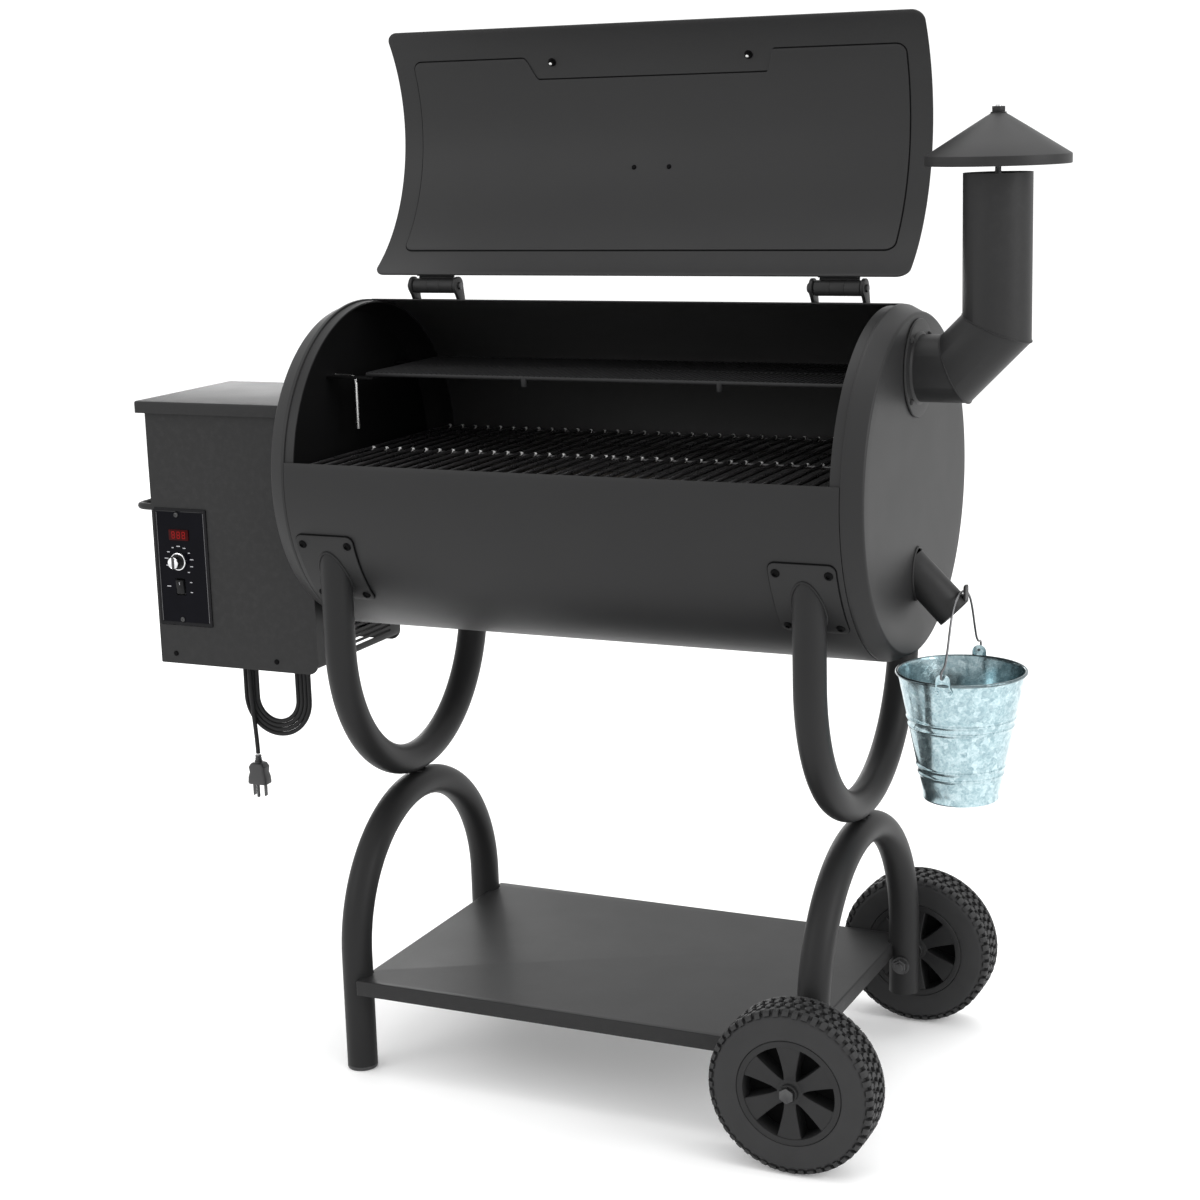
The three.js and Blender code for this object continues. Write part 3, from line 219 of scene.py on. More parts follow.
def galvanised(name="galvanised_spangle", g=1.0):
    """Hot-dip zinc: a mosaic of pale bluish crystals, each with its own tilt and tone."""
    k = Mat(name).set(Metallic=0.88)
    warp = k.node("ShaderNodeVectorMath")
    warp.operation = "MULTIPLY_ADD"
    nz = k.node("ShaderNodeTexNoise", Scale=60.0, Detail=2.0)
    k.link(k.co, nz.inputs["Vector"])
    k.link(nz.outputs["Color"], warp.inputs[0])
    warp.inputs[1].default_value = (0.006, 0.006, 0.006)
    k.link(k.co, warp.inputs[2])
    v = k.node("ShaderNodeTexVoronoi", Scale=150.0)
    k.link(warp.outputs[0], v.inputs["Vector"])
    sep = k.node("ShaderNodeSeparateColor")
    k.link(v.outputs["Color"], sep.inputs[0])
    v2 = k.node("ShaderNodeTexVoronoi", Scale=420.0)
    k.link(warp.outputs[0], v2.inputs["Vector"])
    sep2 = k.node("ShaderNodeSeparateColor")
    k.link(v2.outputs["Color"], sep2.inputs[0])
    big = k.ramp(sep.outputs[0], [(0.0, (0.155 * g, 0.245 * g, 0.275 * g)), (0.5, (0.245 * g, 0.355 * g, 0.385 * g)), (1.0, (0.40 * g, 0.515 * g, 0.545 * g))])
    small = k.ramp(sep2.outputs[1], [(0.0, (0.20 * g, 0.285 * g, 0.31 * g)), (1.0, (0.45 * g, 0.53 * g, 0.55 * g))])
    k.to("Base Color", k.mix(0.45, big, small))
    k.to("Roughness", k.span(sep.outputs[2], 0.12, 0.24))
    k.to("Normal", k.bump(sep.outputs[1], 0.10, 0.0004))
    return k.m


GALV = galvanised(g=1.22)
# copies of the same zinc at other brightness: painted shade inside the bucket and on its rolled rim, painted light on
# the ears
GALV_IN_SHADE = galvanised("galvanised_inside_painted_shade", 0.95)
GALV_EAR_LIT = galvanised("galvanised_ear_painted_light", 1.25)
GALV_RIM_SHADE = galvanised("galvanised_rim_painted_shade", 0.42)


def plastic(name, base, rough, grain=700, strength=0.12, coat_w=0.0, spec=0.5):
    k = Mat(name)
    k.b.inputs["Specular IOR Level"].default_value = spec
    k.b.inputs["Coat Weight"].default_value = coat_w
    k.b.inputs["Coat Roughness"].default_value = 0.06
    n = k.noise(35, 3)
    k.to("Base Color", k.ramp(n, [(0.3, tuple(c * 0.85 for c in base)), (0.7, tuple(c * 1.15 for c in base))]))
    k.to("Roughness", k.span(n, rough - 0.05, rough + 0.05, 0.3, 0.7))
    k.to("Normal", k.bump(k.noise(grain, 2), strength, 0.0002))
    return k.m


PLASTIC = plastic("black_plastic", (0.022, 0.022, 0.023), 0.42)
HUBP = plastic("hub_plastic", (0.0138, 0.0138, 0.0142), 0.52, 700, 0.12, 0.0, 0.25)
# painted shade: a near-black copy of the hub plastic for the web deep in the wheel windows
HUB_WEB_SHADE = plastic("hub_web_painted_shade", (0.0030, 0.0030, 0.0032), 0.7, 700, 0.1, 0.0, 0.08)
TYRE = plastic("tyre_rubber", (0.0185, 0.0185, 0.019), 0.6, 500, 0.35, 0.0, 0.3)
# black oxide for bolts, nuts and screws; also the black sheets that stand as painted shadow lines round the lid's inner
# panel and the saddle plates
DARK = plastic("black_oxide_and_shadow_fill", (0.0020, 0.0020, 0.0022), 0.6, 700, 0.1, 0.0, 0.06)
CORD = plastic("cord_jacket", (0.012, 0.012, 0.0125), 0.62, 900, 0.15, 0.0, 0.2)
PANEL = plastic("panel_gloss", (0.0028, 0.0028, 0.0045), 0.12, 300, 0.01, 0.0, 0.05)
FRAME_P = plastic("panel_frame", (0.0035, 0.0035, 0.0045), 0.2, 300, 0.02, 0.0, 0.14)
ROCKER = plastic("rocker_plastic", (0.005, 0.005, 0.0055), 0.35, 500, 0.05, 0.0, 0.15)
PRINT = plastic("panel_print", (0.42, 0.42, 0.44), 0.6, spec=0.1)


def display():
    k = Mat("display_tint")
    k.b.inputs["Specular IOR Level"].default_value = 0.06
    k.set(Roughness=0.2)
    n = k.noise(300, 2)
    k.to("Base Color", k.ramp(n, [(0.3, (0.026, 0.0012, 0.0012)), (0.7, (0.036, 0.0016, 0.0016))]))
    k.b.inputs["Emission Color"].default_value = (0.45, 0.01, 0.008, 1)
    k.b.inputs["Emission Strength"].default_value = 0.012
    return k.m


DISPLAY = display()


def lit():
    k = Mat("display_segments")
    n = k.noise(200, 1)
    k.to("Base Color", k.ramp(n, [(0.2, (0.16, 0.006, 0.006)), (0.8, (0.22, 0.008, 0.008))]))
    k.b.inputs["Emission Color"].default_value = (0.9, 0.03, 0.02, 1)
    k.b.inputs["Emission Strength"].default_value = 0.06
    k.b.inputs["Specular IOR Level"].default_value = 0.05
    return k.m


SEGMENT = lit()


# ------------------------------------------------------------------ mesh tools
def quads(bm, rows, closed_u=False, closed_v=False, mat=0):
    """Faces between rows of vertices."""
    fs = []
    n, m = len(rows), len(rows[0])
    for i in range(n if closed_u else n - 1):
        a, b = rows[i], rows[(i + 1) % n]
        for j in range(m if closed_v else m - 1):
            k = (j + 1) % m
            q = [a[j], a[k], b[k], b[j]]
            u = []
            for v in q:
                if v not in u:
                    u.append(v)
            if len(u) > 2:
                try:
                    f = bm.faces.new(u)
                    f.material_index = mat
                    fs.append(f)
                except ValueError:
                    pass
    return fs


def loft(sections, closed=True, caps=True, bm=None, mat=0):
    """Closed rings of points joined in order."""
    bm = bm or bmesh.new()
    rows = [[bm.verts.new(p) for p in s] for s in sections]
    quads(bm, rows, False, closed, mat)
    if caps:
        for r, flip in ((rows[0], True), (rows[-1], False)):
            try:
                f = bm.faces.new(list(reversed(r)) if flip else r)
                f.material_index = mat
            except ValueError:
                pass
    return bm


def lathe(profile, axis, c, seg=96, closed=False, bm=None, mat=0, a0=0.0):
    """Turns [(r, h), ...] about an axis through c. r = 0 closes on the axis."""
    bm = bm or bmesh.new()
    cx, cy, cz = c
    rows = []
    for r, h in profile:
        if r < 1e-6:
            p = {"x": (cx + h, cy, cz), "y": (cx, cy + h, cz), "z": (cx, cy, cz + h)}[axis]
            v = bm.verts.new(p)
            rows.append([v] * seg)
            continue
        row = []
        for i in range(seg):
            a = a0 + 2 * math.pi * i / seg
            u, w = r * math.cos(a), r * math.sin(a)
            p = {"x": (cx + h, cy + u, cz + w), "y": (cx + u, cy + h, cz + w), "z": (cx + u, cy + w, cz + h)}[axis]
            row.append(bm.verts.new(p))
        rows.append(row)
    quads(bm, rows, closed, True, mat)
    return bm


def frames_along(pts, up=None):
    """Turning frames along a path: tangent, u, v at each point."""
    P = [Vector(p) for p in pts]
    T = []
    for i in range(len(P)):
        a, b = P[max(0, i - 1)], P[min(len(P) - 1, i + 1)]
        T.append((b - a).normalized())
    u = Vector(up) if up else (Vector((0, 0, 1)) if abs(T[0].z) < 0.9 else Vector((1, 0, 0)))
    out = []
    for i, t in enumerate(T):
        u = (u - t * u.dot(t)).normalized()
        out.append((P[i], t, u, t.cross(u)))
    return out


def tube(pts, r, seg=24, ri=0, bm=None, mat=0, up=None, caps=True):
    bm = bm or bmesh.new()
    fr = frames_along(pts, up)
    rr = r if callable(r) else (lambda i: r)

    def ring(rad_):
        rows = []
        for i, (p, t, u, v) in enumerate(fr):
            q = rad_(i)
            rows.append(
                [
                    bm.verts.new(p + u * q * math.cos(2 * math.pi * j / seg) + v * q * math.sin(2 * math.pi * j / seg))
                    for j in range(seg)
                ]
            )
        quads(bm, rows, False, True, mat)
        return rows

    outer = ring(rr)
    if ri:
        inner = ring(lambda i: ri)
        for k in (0, -1):
            quads(bm, [outer[k], inner[k]], False, True, mat)
    elif caps:
        for k in (0, -1):
            f = bm.faces.new(outer[k])
            f.material_index = mat
    return bm


def smooth_path(pts, step=4.0, closed=False):
    """Centripetal-like Catmull-Rom through points."""
    P = [Vector(p) for p in pts]
    out = []
    n = len(P)
    for i in range(n - 1):
        p0 = P[i - 1] if i else P[0] * 2 - P[1]
        p1, p2 = P[i], P[i + 1]
        p3 = P[i + 2] if i + 2 < n else P[-1] * 2 - P[-2]
        k = max(1, int((p2 - p1).length / step))
        for j in range(k):
            t = j / k
            out.append(
                0.5
                * (
                    2 * p1
                    + (p2 - p0) * t
                    + (2 * p0 - 5 * p1 + 4 * p2 - p3) * t * t
                    + (3 * p1 - p0 - 3 * p2 + p3) * t**3
                )
            )
    out.append(P[-1])
    return out


def rounded(pts, r, n=5):
    """A polygon with its corners rounded; r is a number or one per corner."""
    out = []
    m = len(pts)
    for i, p in enumerate(pts):
        q = r[i] if isinstance(r, (list, tuple)) else r
        a, b = Vector(pts[i - 1]), Vector(pts[(i + 1) % m])
        p = Vector(p)
        if q <= 0:
            out.append(tuple(p))
            continue
        d1, d2 = (a - p).normalized(), (b - p).normalized()
        ang = math.acos(max(-1, min(1, d1.dot(d2))))
        t = min(q / math.tan(ang / 2), (a - p).length * 0.49, (b - p).length * 0.49)
        q = t * math.tan(ang / 2)
        c = p + (d1 + d2).normalized() * (q / math.sin(ang / 2))
        s, e = p + d1 * t - c, p + d2 * t - c
        w = s.angle_signed(e) if len(s) == 2 else 0
        for k in range(n + 1):
            x = -w * k / n
            out.append((c.x + s.x * math.cos(x) - s.y * math.sin(x), c.y + s.x * math.sin(x) + s.y * math.cos(x)))
    return out


def prism(pts, axis, a, b, bm=None, mat=0):
    """A 2-D outline extruded along an axis: x takes (y, z), y takes (x, z), z takes (x, y)."""
    bm = bm or bmesh.new()

    def p3(p, h):
        return {"x": (h, p[0], p[1]), "y": (p[0], h, p[1]), "z": (p[0], p[1], h)}[axis]

    lo = [bm.verts.new(p3(p, a)) for p in pts]
    hi = [bm.verts.new(p3(p, b)) for p in pts]
    n = len(pts)
    fs = [bm.faces.new(lo), bm.faces.new(list(reversed(hi)))]
    for i in range(n):
        fs.append(bm.faces.new([lo[i], hi[i], hi[(i + 1) % n], lo[(i + 1) % n]]))
    for f in fs:
        f.material_index = mat
    return bm


def block(x0, x1, y0, y1, z0, z1, bm=None, mat=0):
    return prism([(x0, y0), (x1, y0), (x1, y1), (x0, y1)], "z", z0, z1, bm, mat)


def cyl(a, b, r, seg=32, r2=None, bm=None, mat=0, chamfer=0.0):
    """A rod from a to b, with small chamfers when asked."""
    A, B = Vector(a), Vector(b)
    t = (B - A).normalized()
    L = (B - A).length
    r2 = r if r2 is None else r2
    st = [(0, r), (L, r2)]
    if chamfer:
        c = chamfer
        st = [(0, r - c), (c * 0.3, r - c * 0.3), (c, r), (L - c, r2), (L - c * 0.3, r2 - c * 0.3), (L, r2 - c)]
    u = Vector((0, 0, 1)) if abs(t.z) < 0.9 else Vector((1, 0, 0))
    u = (u - t * u.dot(t)).normalized()
    v = t.cross(u)
    sec = [
        [A + t * h + u * q * math.cos(2 * math.pi * j / seg) + v * q * math.sin(2 * math.pi * j / seg) for j in range(seg)]
        for h, q in st
    ]
    return loft(sec, True, True, bm, mat)


def ring_band(x0, x1, ri, ro, a0, a1, n, bm=None, mat=0, mat_in=None, cy=0.0, cz=800.0, nx=1):
    """An arc of rolled sheet about the X axis, angles in degrees."""
    bm = bm or bmesh.new()
    mat_in = mat if mat_in is None else mat_in
    xs = [x0 + (x1 - x0) * i / nx for i in range(nx + 1)]

    def grid(r):
        return [
            [bm.verts.new((x, cy + r * math.cos(rad(a0 + (a1 - a0) * j / n)), cz + r * math.sin(rad(a0 + (a1 - a0) * j / n)))) for j in range(n + 1)]
            for x in xs
        ]

    o, i = grid(ro), grid(ri)
    quads(bm, o, mat=mat)
    quads(bm, i, mat=mat_in)
    for k in (0, -1):
        quads(bm, [o[k], i[k]], mat=mat)
        quads(bm, [[r[k] for r in o], [r[k] for r in i]], mat=mat)
    return bm


def curved_sheet(xs, lo, hi, ri, ro, na, bm=None, mat=0, mat_in=None, post=None, dip=None):
    """Sheet about the barrel's axis whose angle span changes with x."""
    bm = bm or bmesh.new()
    mat_in = mat if mat_in is None else mat_in

    def pt(x, r, a):
        p = (x, r * math.cos(rad(a)), 800 + r * math.sin(rad(a)))
        return post(p) if post else p

    def grid(r):
        g = []
        for x in xs:
            a, b = lo(x), hi(x)
            g.append([bm.verts.new(pt(x, r, a + (b - a) * j / na)) for j in range(na + 1)])
        return g

    o, i = grid(ro), grid(ri)
    quads(bm, o, mat=mat)
    quads(bm, i, mat=mat_in)
    for k in (0, -1):
        quads(bm, [o[k], i[k]], mat=mat)
        quads(bm, [[r[k] for r in o], [r[k] for r in i]], mat=mat)
    return bm


def turn(bm, m):
    bmesh.ops.transform(bm, matrix=m, verts=bm.verts)
    return bm


def about(axis, deg, c):
    c = Vector(c)
    return Matrix.Translation(c) @ Matrix.Rotation(rad(deg), 4, axis) @ Matrix.Translation(-c)


def bevel(bm, w, seg=2, limit=30.0, only=None):
    bm.normal_update()
    es = [
        e
        for e in bm.edges
        if len(e.link_faces) == 2 and e.calc_face_angle(0) > rad(limit) and (only is None or only(e))
    ]
    bmesh.ops.bevel(bm, geom=es, offset=w, segments=seg, profile=0.5, affect="EDGES", clamp_overlap=True)
    return bm


def raw(bm, name="tmp"):
    bmesh.ops.remove_doubles(bm, verts=bm.verts, dist=1e-4)
    bmesh.ops.recalc_face_normals(bm, faces=bm.faces)
    me = bpy.data.meshes.new(name)
    bm.to_mesh(me)
    bm.free()
    o = bpy.data.objects.new(name, me)
    scene.collection.objects.link(o)
    return o


def boolean(a, b, op="DIFFERENCE"):
    """Boolean of two meshes in code; returns a new bmesh."""
    oa, ob = raw(a, "bool_a"), raw(b, "bool_b")
    m = oa.modifiers.new("b", "BOOLEAN")
    m.operation, m.object, m.solver = op, ob, "EXACT"
    dg = bpy.context.evaluated_depsgraph_get()
    me = bpy.data.meshes.new_from_object(oa.evaluated_get(dg))
    bm = bmesh.new()
    bm.from_mesh(me)
    for o in (oa, ob):
        d = o.data
        bpy.data.objects.remove(o)
        bpy.data.meshes.remove(d)
    bpy.data.meshes.remove(me)
    bmesh.ops.dissolve_degenerate(bm, dist=1e-4, edges=bm.edges)
    return bm


def emit(name, bm, mats, body, nodes=(), sharp=32.0, bev=0.0, seg=2, bev_limit=30.0):
    """Puts a finished piece, drawn in millimetres, in the scene on its body."""
    bmesh.ops.remove_doubles(bm, verts=bm.verts, dist=1e-4)
    bmesh.ops.recalc_face_normals(bm, faces=bm.faces)
    if bev:
        bevel(bm, bev, seg, bev_limit)
    bmesh.ops.dissolve_degenerate(bm, dist=1e-5, edges=bm.edges)
    bm.normal_update()
    for f in bm.faces:
        f.smooth = True
    for e in bm.edges:
        if len(e.link_faces) == 2 and e.calc_face_angle(0) > rad(sharp):
            e.smooth = False
    for v in bm.verts:
        v.co = M(*v.co)
    me = bpy.data.meshes.new(name)
    bm.to_mesh(me)
    bm.free()
    for m in mats if isinstance(mats, (list, tuple)) else [mats]:
        me.materials.append(m)
    o = bpy.data.objects.new(name, me)
    scene.collection.objects.link(o)
    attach(o, body)
    if nodes:
        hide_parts(*([nodes] if isinstance(nodes, str) else nodes))
    return o


def paint_node(node, mat):
    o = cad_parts[node]
    for s in o.material_slots:
        s.link = "OBJECT"
        s.material = mat


# ------------------------------------------------------------------ mains lead
HX, HY_ = -521.0, -40.0
C0, C1 = 463.5, 552.5
path = [(HX - 52.25, HY_, 583.7), (HX - 52.25, HY_, 575), (HX - 52.25, HY_, 566)]
for k in range(4):
    r = 52.25 - 6.27 * k
    for z in (552.5, 530, 508, 486):
        path.append((HX - r, HY_, z))
    for i in range(17):
        a = math.pi + math.pi * i / 16
        path.append((HX + r * math.cos(a), HY_, C0 + r * math.sin(a)))
    for z in (486, 508, 530):
        path.append((HX + r, HY_, z))
    if k < 3:
        for i in range(16):
            a = math.pi * i / 16
            q = r - 6.27 * i / 16
            path.append((HX + q * math.cos(a), HY_, C1 + q * math.sin(a)))
for i in range(13):
    th = 124 * i / 12
    s = min(1, th / 42)
    s = s * s * (3 - 2 * s)
    g = max(0, (th - 38) / 86)
    g = g * g * (3 - 2 * g)
    q = 33.44 + 9.46 * g
    path.append((HX + q * math.cos(rad(th)), HY_ - 7 * s, C1 + q * math.sin(rad(th))))
path += [
    (x, -47, z)
    for x, z in [
        (-553.6, 578),
        (-558.6, 566),
        (-561.2, 552),
        (-562, 535),
        (-562.1, 518),
        (-562, 500),
        (-561.5, 480),
        (-560.5, 460),
        (-559.1, 440),
        (-557.5, 420),
        (-556.4, 404),
        (-555.8, 392),
        (-555.5, 381),
    ]
]
fine = smooth_path(path, 3.2)
cd = bpy.data.curves.new("mains_lead", "CURVE")
cd.dimensions = "3D"
cd.bevel_depth = 0.0031
cd.bevel_resolution = 5
sp = cd.splines.new("POLY")
sp.points.add(len(fine) - 1)
for p, q in zip(sp.points, fine):
    p.co = (*M(*q), 1)
cd.materials.append(CORD)
lead = bpy.data.objects.new("mains_lead", cd)
scene.collection.objects.link(lead)
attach(lead, "body")
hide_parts("cord_hank", "cord_tail")

# plug: moulded body with a waist, ribbed neck, two blades and an earth pin
TY = -47.0
bm = lathe([(0, 0), (4.2, 0), (4.6, 2), (4.0, 3.5), (5.0, 5), (4.4, 6.5), (5.6, 8), (5.2, 9.5), (7.0, 12), (0, 12)], "z", (0, 0, 0), 32)
turn(bm, Matrix.Translation((-555.5, TY, 378.9)) @ Matrix.Rotation(math.pi, 4, "X"))
sec = []
for z, w, d in [(368.5, 7, 7), (367, 10, 9), (362, 13.2, 9.8), (354, 12.4, 9.3), (347, 14.6, 9.9), (339, 15.3, 10), (337.2, 14.6, 9.4)]:
    sec.append([(-555.5 + p[0], TY + p[1], z) for p in rounded([(-w, -d), (w, -d), (w, d), (-w, d)], 4.5, 6)])
bm = loft(sec, True, True, bm)
plug = emit("lead_plug", bm, PLASTIC, "body", "cord_plug")
bm = bmesh.new()
for x0, x1 in ((-565.6, -564.0), (-547.0, -545.4)):
    prism([(x0, 337.5), (x0, 320.5), (x0 + 0.5, 319), (x1 - 0.5, 319), (x1, 320.5), (x1, 337.5)], "y", TY - 3.2, TY + 3.2, bm)
cyl((-555.5, TY - 5, 338), (-555.5, TY - 5, 318), 2.35, 20, bm=bm, chamfer=0.8)
blades = emit("lead_plug_blades", bm, BLACKENED, "body")

bm = lathe([(0, 0), (8, 0), (8, -3.2), (6.2, -3.7), (5.6, -3.8)] + [(5.6 - 1.4 * i / 10 + (0.35 if i % 2 else 0), -3.8 - 1.18 * i) for i in range(11)] + [(3.15, -16), (0, -16)], "z", (-573.25, -40, 599.7), 32)
gland = emit("lead_gland", bm, PLASTIC, "body", "cord_gland")

# ------------------------------------------------------------------ barrel
bm = ring_band(-373.7, 373.7, 218, 220, 172, 444, 150, mat=0, mat_in=1, nx=2)
emit("barrel_skin", bm, [PAINT, PAINT_IN], "body", "barrel_shell", bev=0.6)
bm = bmesh.new()
for s in (-1, 1):
    block(-358, 358, min(s * 196, s * 217.2), max(s * 196, s * 217.2), 812, 815, bm)
    block(-358, 358, min(s * 196, s * 198.5), max(s * 196, s * 198.5), 803, 812.2, bm)
emit("barrel_grate_ledges", bm, PAINT_IN, "body", bev=0.5)


def cap_profile():
    out = [(217.3, 361), (217.3, 374), (219.0, 374), (219.6, 374.6), (219.6, 377.2), (219.3, 378.4)]
    # conical skirt, then a tight fold into the face
    out += [(212.6, 391.6)]
    cx_, cr, f = 400 - 4.5, 208.2, 4.5
    for i in range(7):
        a = rad(26 + (90 - 26) * i / 6)
        out.append((cr - 2.1 + f * math.cos(a) + 0.6, cx_ + f * math.sin(a)))
    out += [(190, 400.0), (120, 400.0), (60, 400.0), (0, 400.0)]
    inn = [(0, 398.3), (60, 398.3), (120, 398.3), (203.0, 398.3), (209.6, 391.4), (215.3, 377), (215.3, 361)]
    return out, inn


for side, name in ((1, "right"), (-1, "left")):
    o_, i_ = cap_profile()
    bm = lathe(o_, "x", (0, 0, 800), 160)
    bm2 = lathe(i_, "x", (0, 0, 800), 160, bm=bm, mat=1)
    lathe([o_[0], i_[-1]], "x", (0, 0, 800), 160, bm=bm)
    if side < 0:
        turn(bm, Matrix.Rotation(math.pi, 4, "Z"))
    bmesh.ops.remove_doubles(bm, verts=bm.verts, dist=1e-4)
    if side > 0:
        bm = boolean(bm, cyl((385, 0, 943), (415, 0, 943), 41.4, 64))
        bm = boolean(bm, cyl((357.5, 0, 732), (447.5, 0, 642), 23.4, 48))
    else:
        bm = boolean(bm, block(-410, -390, -36.2, 36.2, 596.8, 669.2))
        bm = boolean(bm, cyl((-410, -40, 921), (-390, -40, 921), 3.5, 20))
    emit(f"barrel_cap_{name}", bm, [PAINT, CAP_IN_SHADE], "body", f"{name}_end_cap", sharp=26)
bm = bmesh.new()
for s in (-1, 1):
    for y in (-56, 125):
        x0, x1 = sorted((s * 328, s * 398.2))
        block(x0, x1, y - 8, y + 8, 920, 922.5, bm)
emit("rack_tabs", bm, CAP_IN_SHADE, "body", bev=0.5)

# ------------------------------------------------------------------ grates and rack
for side, x0, x1 in (("left", -352, -2.5), ("right", 2.5, 352)):
    bm = bmesh.new()
    bars = [x0 + 2.5 + (x1 - x0 - 5) * i / 17 for i in range(18)]
    for x in bars:
        P = [(x, -204, 823), (x, -203, 824.2), (x, -120, 824.4), (x, 0, 824.4), (x, 120, 824.4), (x, 186, 824.2), (x, 187, 823)]
        tube(P, 2.5, 12, bm=bm)
    for y in (-201, -35, 184):
        tube([(x0 + 0.5, y, 821.6), (0.5 * (x0 + x1), y, 821.6), (x1 - 0.5, y, 821.6)], 2.5, 12, bm=bm)
    # welded crossings, coloured near-white as painted glints of light on the bars
    nug = bmesh.new()
    for x in bars:
        for y, l in ((-35, 7.5), (184, 5.5)):
            y = min(y, 186.8 - l)
            lathe([(0, y - l), (1.7, y - 0.85 * l), (2.75, y - 0.4 * l), (2.9, y), (2.75, y + 0.4 * l), (1.7, y + 0.85 * l), (0, y + l)], "y", (x, 0, 824.0), 14, bm=nug)
    emit(f"grate_{side}_crossings", nug, CROSSING_GLINT, f"grate_{side}", sharp=70)
    emit(f"grate_{side}_bars", bm, ENAMEL, f"grate_{side}", f"cooking_grate_{side}")

bm = bmesh.new()
for y in (-60, 40, 140):
    tube([(-338, y, 926.2), (0, y, 926.2), (338, y, 926.2)], 2.6, 12, bm=bm)
for i in range(91):
    x = -336 + 672 * i / 90
    tube([(x, -61, 928.0), (x, 40, 928.0), (x, 141, 928.0)], 1.5, 8, bm=bm)
for x in (-105, 165):
    for y in (-60, 140):
        cyl((x, y, 915), (x, y, 927), 4, 20, bm=bm, chamfer=1.0)
emit("warming_rack_wires", bm, RACK_M, "rack", "warming_rack")

# ------------------------------------------------------------------ inside
for n_, m_ in (("drip_tray", SOOTY), ("heat_baffle", SOOTY), ("fire_pot", SOOTY), ("igniter_rod", STEEL), ("air_duct", ZINC), ("auger_tube", ZINC), ("auger_motor", ZINC), ("fan_housing", ZINC), ("auger_screw", STEEL), ("fan_impeller", PLASTIC)):
    paint_node(n_, m_)

P = smooth_path([(-401.6, -40, 921), (-388, -40, 921), (-376, -40, 920.8), (-369.4, -40, 918.6), (-367.1, -40, 912), (-367, -40, 900), (-367, -40, 875), (-367, -40, 850.6)], 2.5)
bm = tube(P, 2.9, 16, up=(0, 1, 0))
emit("probe_rod", bm, STEEL, "body", "temperature_probe")

# ------------------------------------------------------------------ lid
HY0, HZ0 = 43.0, 1035.0
LID = about("X", -138.4, (0, HY0, HZ0))


def on_lid(bm):
    return turn(bm, LID)


def corner(x, half, r):
    d = abs(x) - (half - r)
    return 0 if d <= 0 else r - math.sqrt(max(0, r * r - min(r, d) ** 2))


DEG = 180 / math.pi / 222


def columns(half, r, extra=()):
    xs = {round(half - r + r * math.sin(rad(i * 90 / 10)), 4) for i in range(11)}
    xs |= {-x for x in xs}
    xs |= {round(-(half - r) + 2 * (half - r) * i / 24, 4) for i in range(25)}
    xs |= set(extra)
    return sorted(xs)


bm = curved_sheet(
    columns(376.5, 16),
    lambda x: 80 + corner(x, 376.5, 16) * DEG,
    lambda x: 174 - corner(x, 376.5, 16) * DEG,
    221,
    223,
    64,
    mat=0,
    mat_in=0,
)
on_lid(bm)
emit("lid_skin", bm, PAINT_LID, "lid", "lid_shell", bev=0.6, bev_limit=50)


def notch(x):
    # the liner's top edge dips between the handle bolts
    if -180 < x < -162:
        t = (x + 180) / 18
    elif -162 <= x <= 160:
        t = 1
    elif 160 < x < 174:
        t = 1 - (x - 160) / 14
    else:
        t = 0
    t = t * t * (3 - 2 * t)
    return 162.4 - 7.8 * t


xs = columns(347, 12, [-180 + 18 * i / 8 for i in range(9)] + [160 + 14 * i / 8 for i in range(9)])
bm = curved_sheet(
    xs,
    lambda x: 92.2 + corner(x, 347, 12) * DEG,
    lambda x: notch(x) - corner(x, 347, 12) * DEG,
    219.3,
    221.2,
    56,
)
on_lid(bm)
# painted shadow: a thin black sheet just outside the inner panel's edge stands in for the shadow at its raised step
gap = 1.5
xs2 = columns(347 + gap, 12 + gap, [-180 - gap + 18 * i / 8 for i in range(9)] + [160 + gap + 14 * i / 8 for i in range(9)])
shadow = curved_sheet(
    xs2,
    lambda x: 92.2 - gap * DEG + corner(x, 347 + gap, 12 + gap) * DEG,
    lambda x: notch(x * 347 / (347 + gap)) + gap * DEG - corner(x, 347 + gap, 12 + gap) * DEG,
    220.75,
    221.3,
    56,
)
on_lid(shadow)
emit("lid_panel_gap_shadow", shadow, DARK, "lid", sharp=60)
emit("lid_inner_panel", bm, PAINT_LID, "lid", bev=0.7, seg=3, bev_limit=50, sharp=60)

# nuts of the handle bolts, and the badge plate's two rivets, on the inner face
bm = bmesh.new()
for x in (-139, 139):
    a = rad(160.7)
    at = lambda r: (x, r * math.cos(a), 800 + r * math.sin(a))
    cyl(at(221.2), at(220.2), 5.6, 32, bm=bm, chamfer=0.2)
    cyl(at(220.4), at(216.6), 4.4, 6, bm=bm)
    cyl(at(216.8), at(214.4), 2.2, 16, bm=bm, mat=1, chamfer=0.4)
on_lid(bm)
emit("lid_handle_nuts", bm, [DARK, STEEL], "lid")
bm = bmesh.new()
for x in (-28, 22):
    a = rad(123.9)
    at = lambda r: (x, r * math.cos(a), 800 + r * math.sin(a))
    cyl(at(219.5), at(217.2), 3.4, 20, 2.4, bm=bm)
on_lid(bm)
emit("lid_badge_rivets", bm, DARK, "lid")

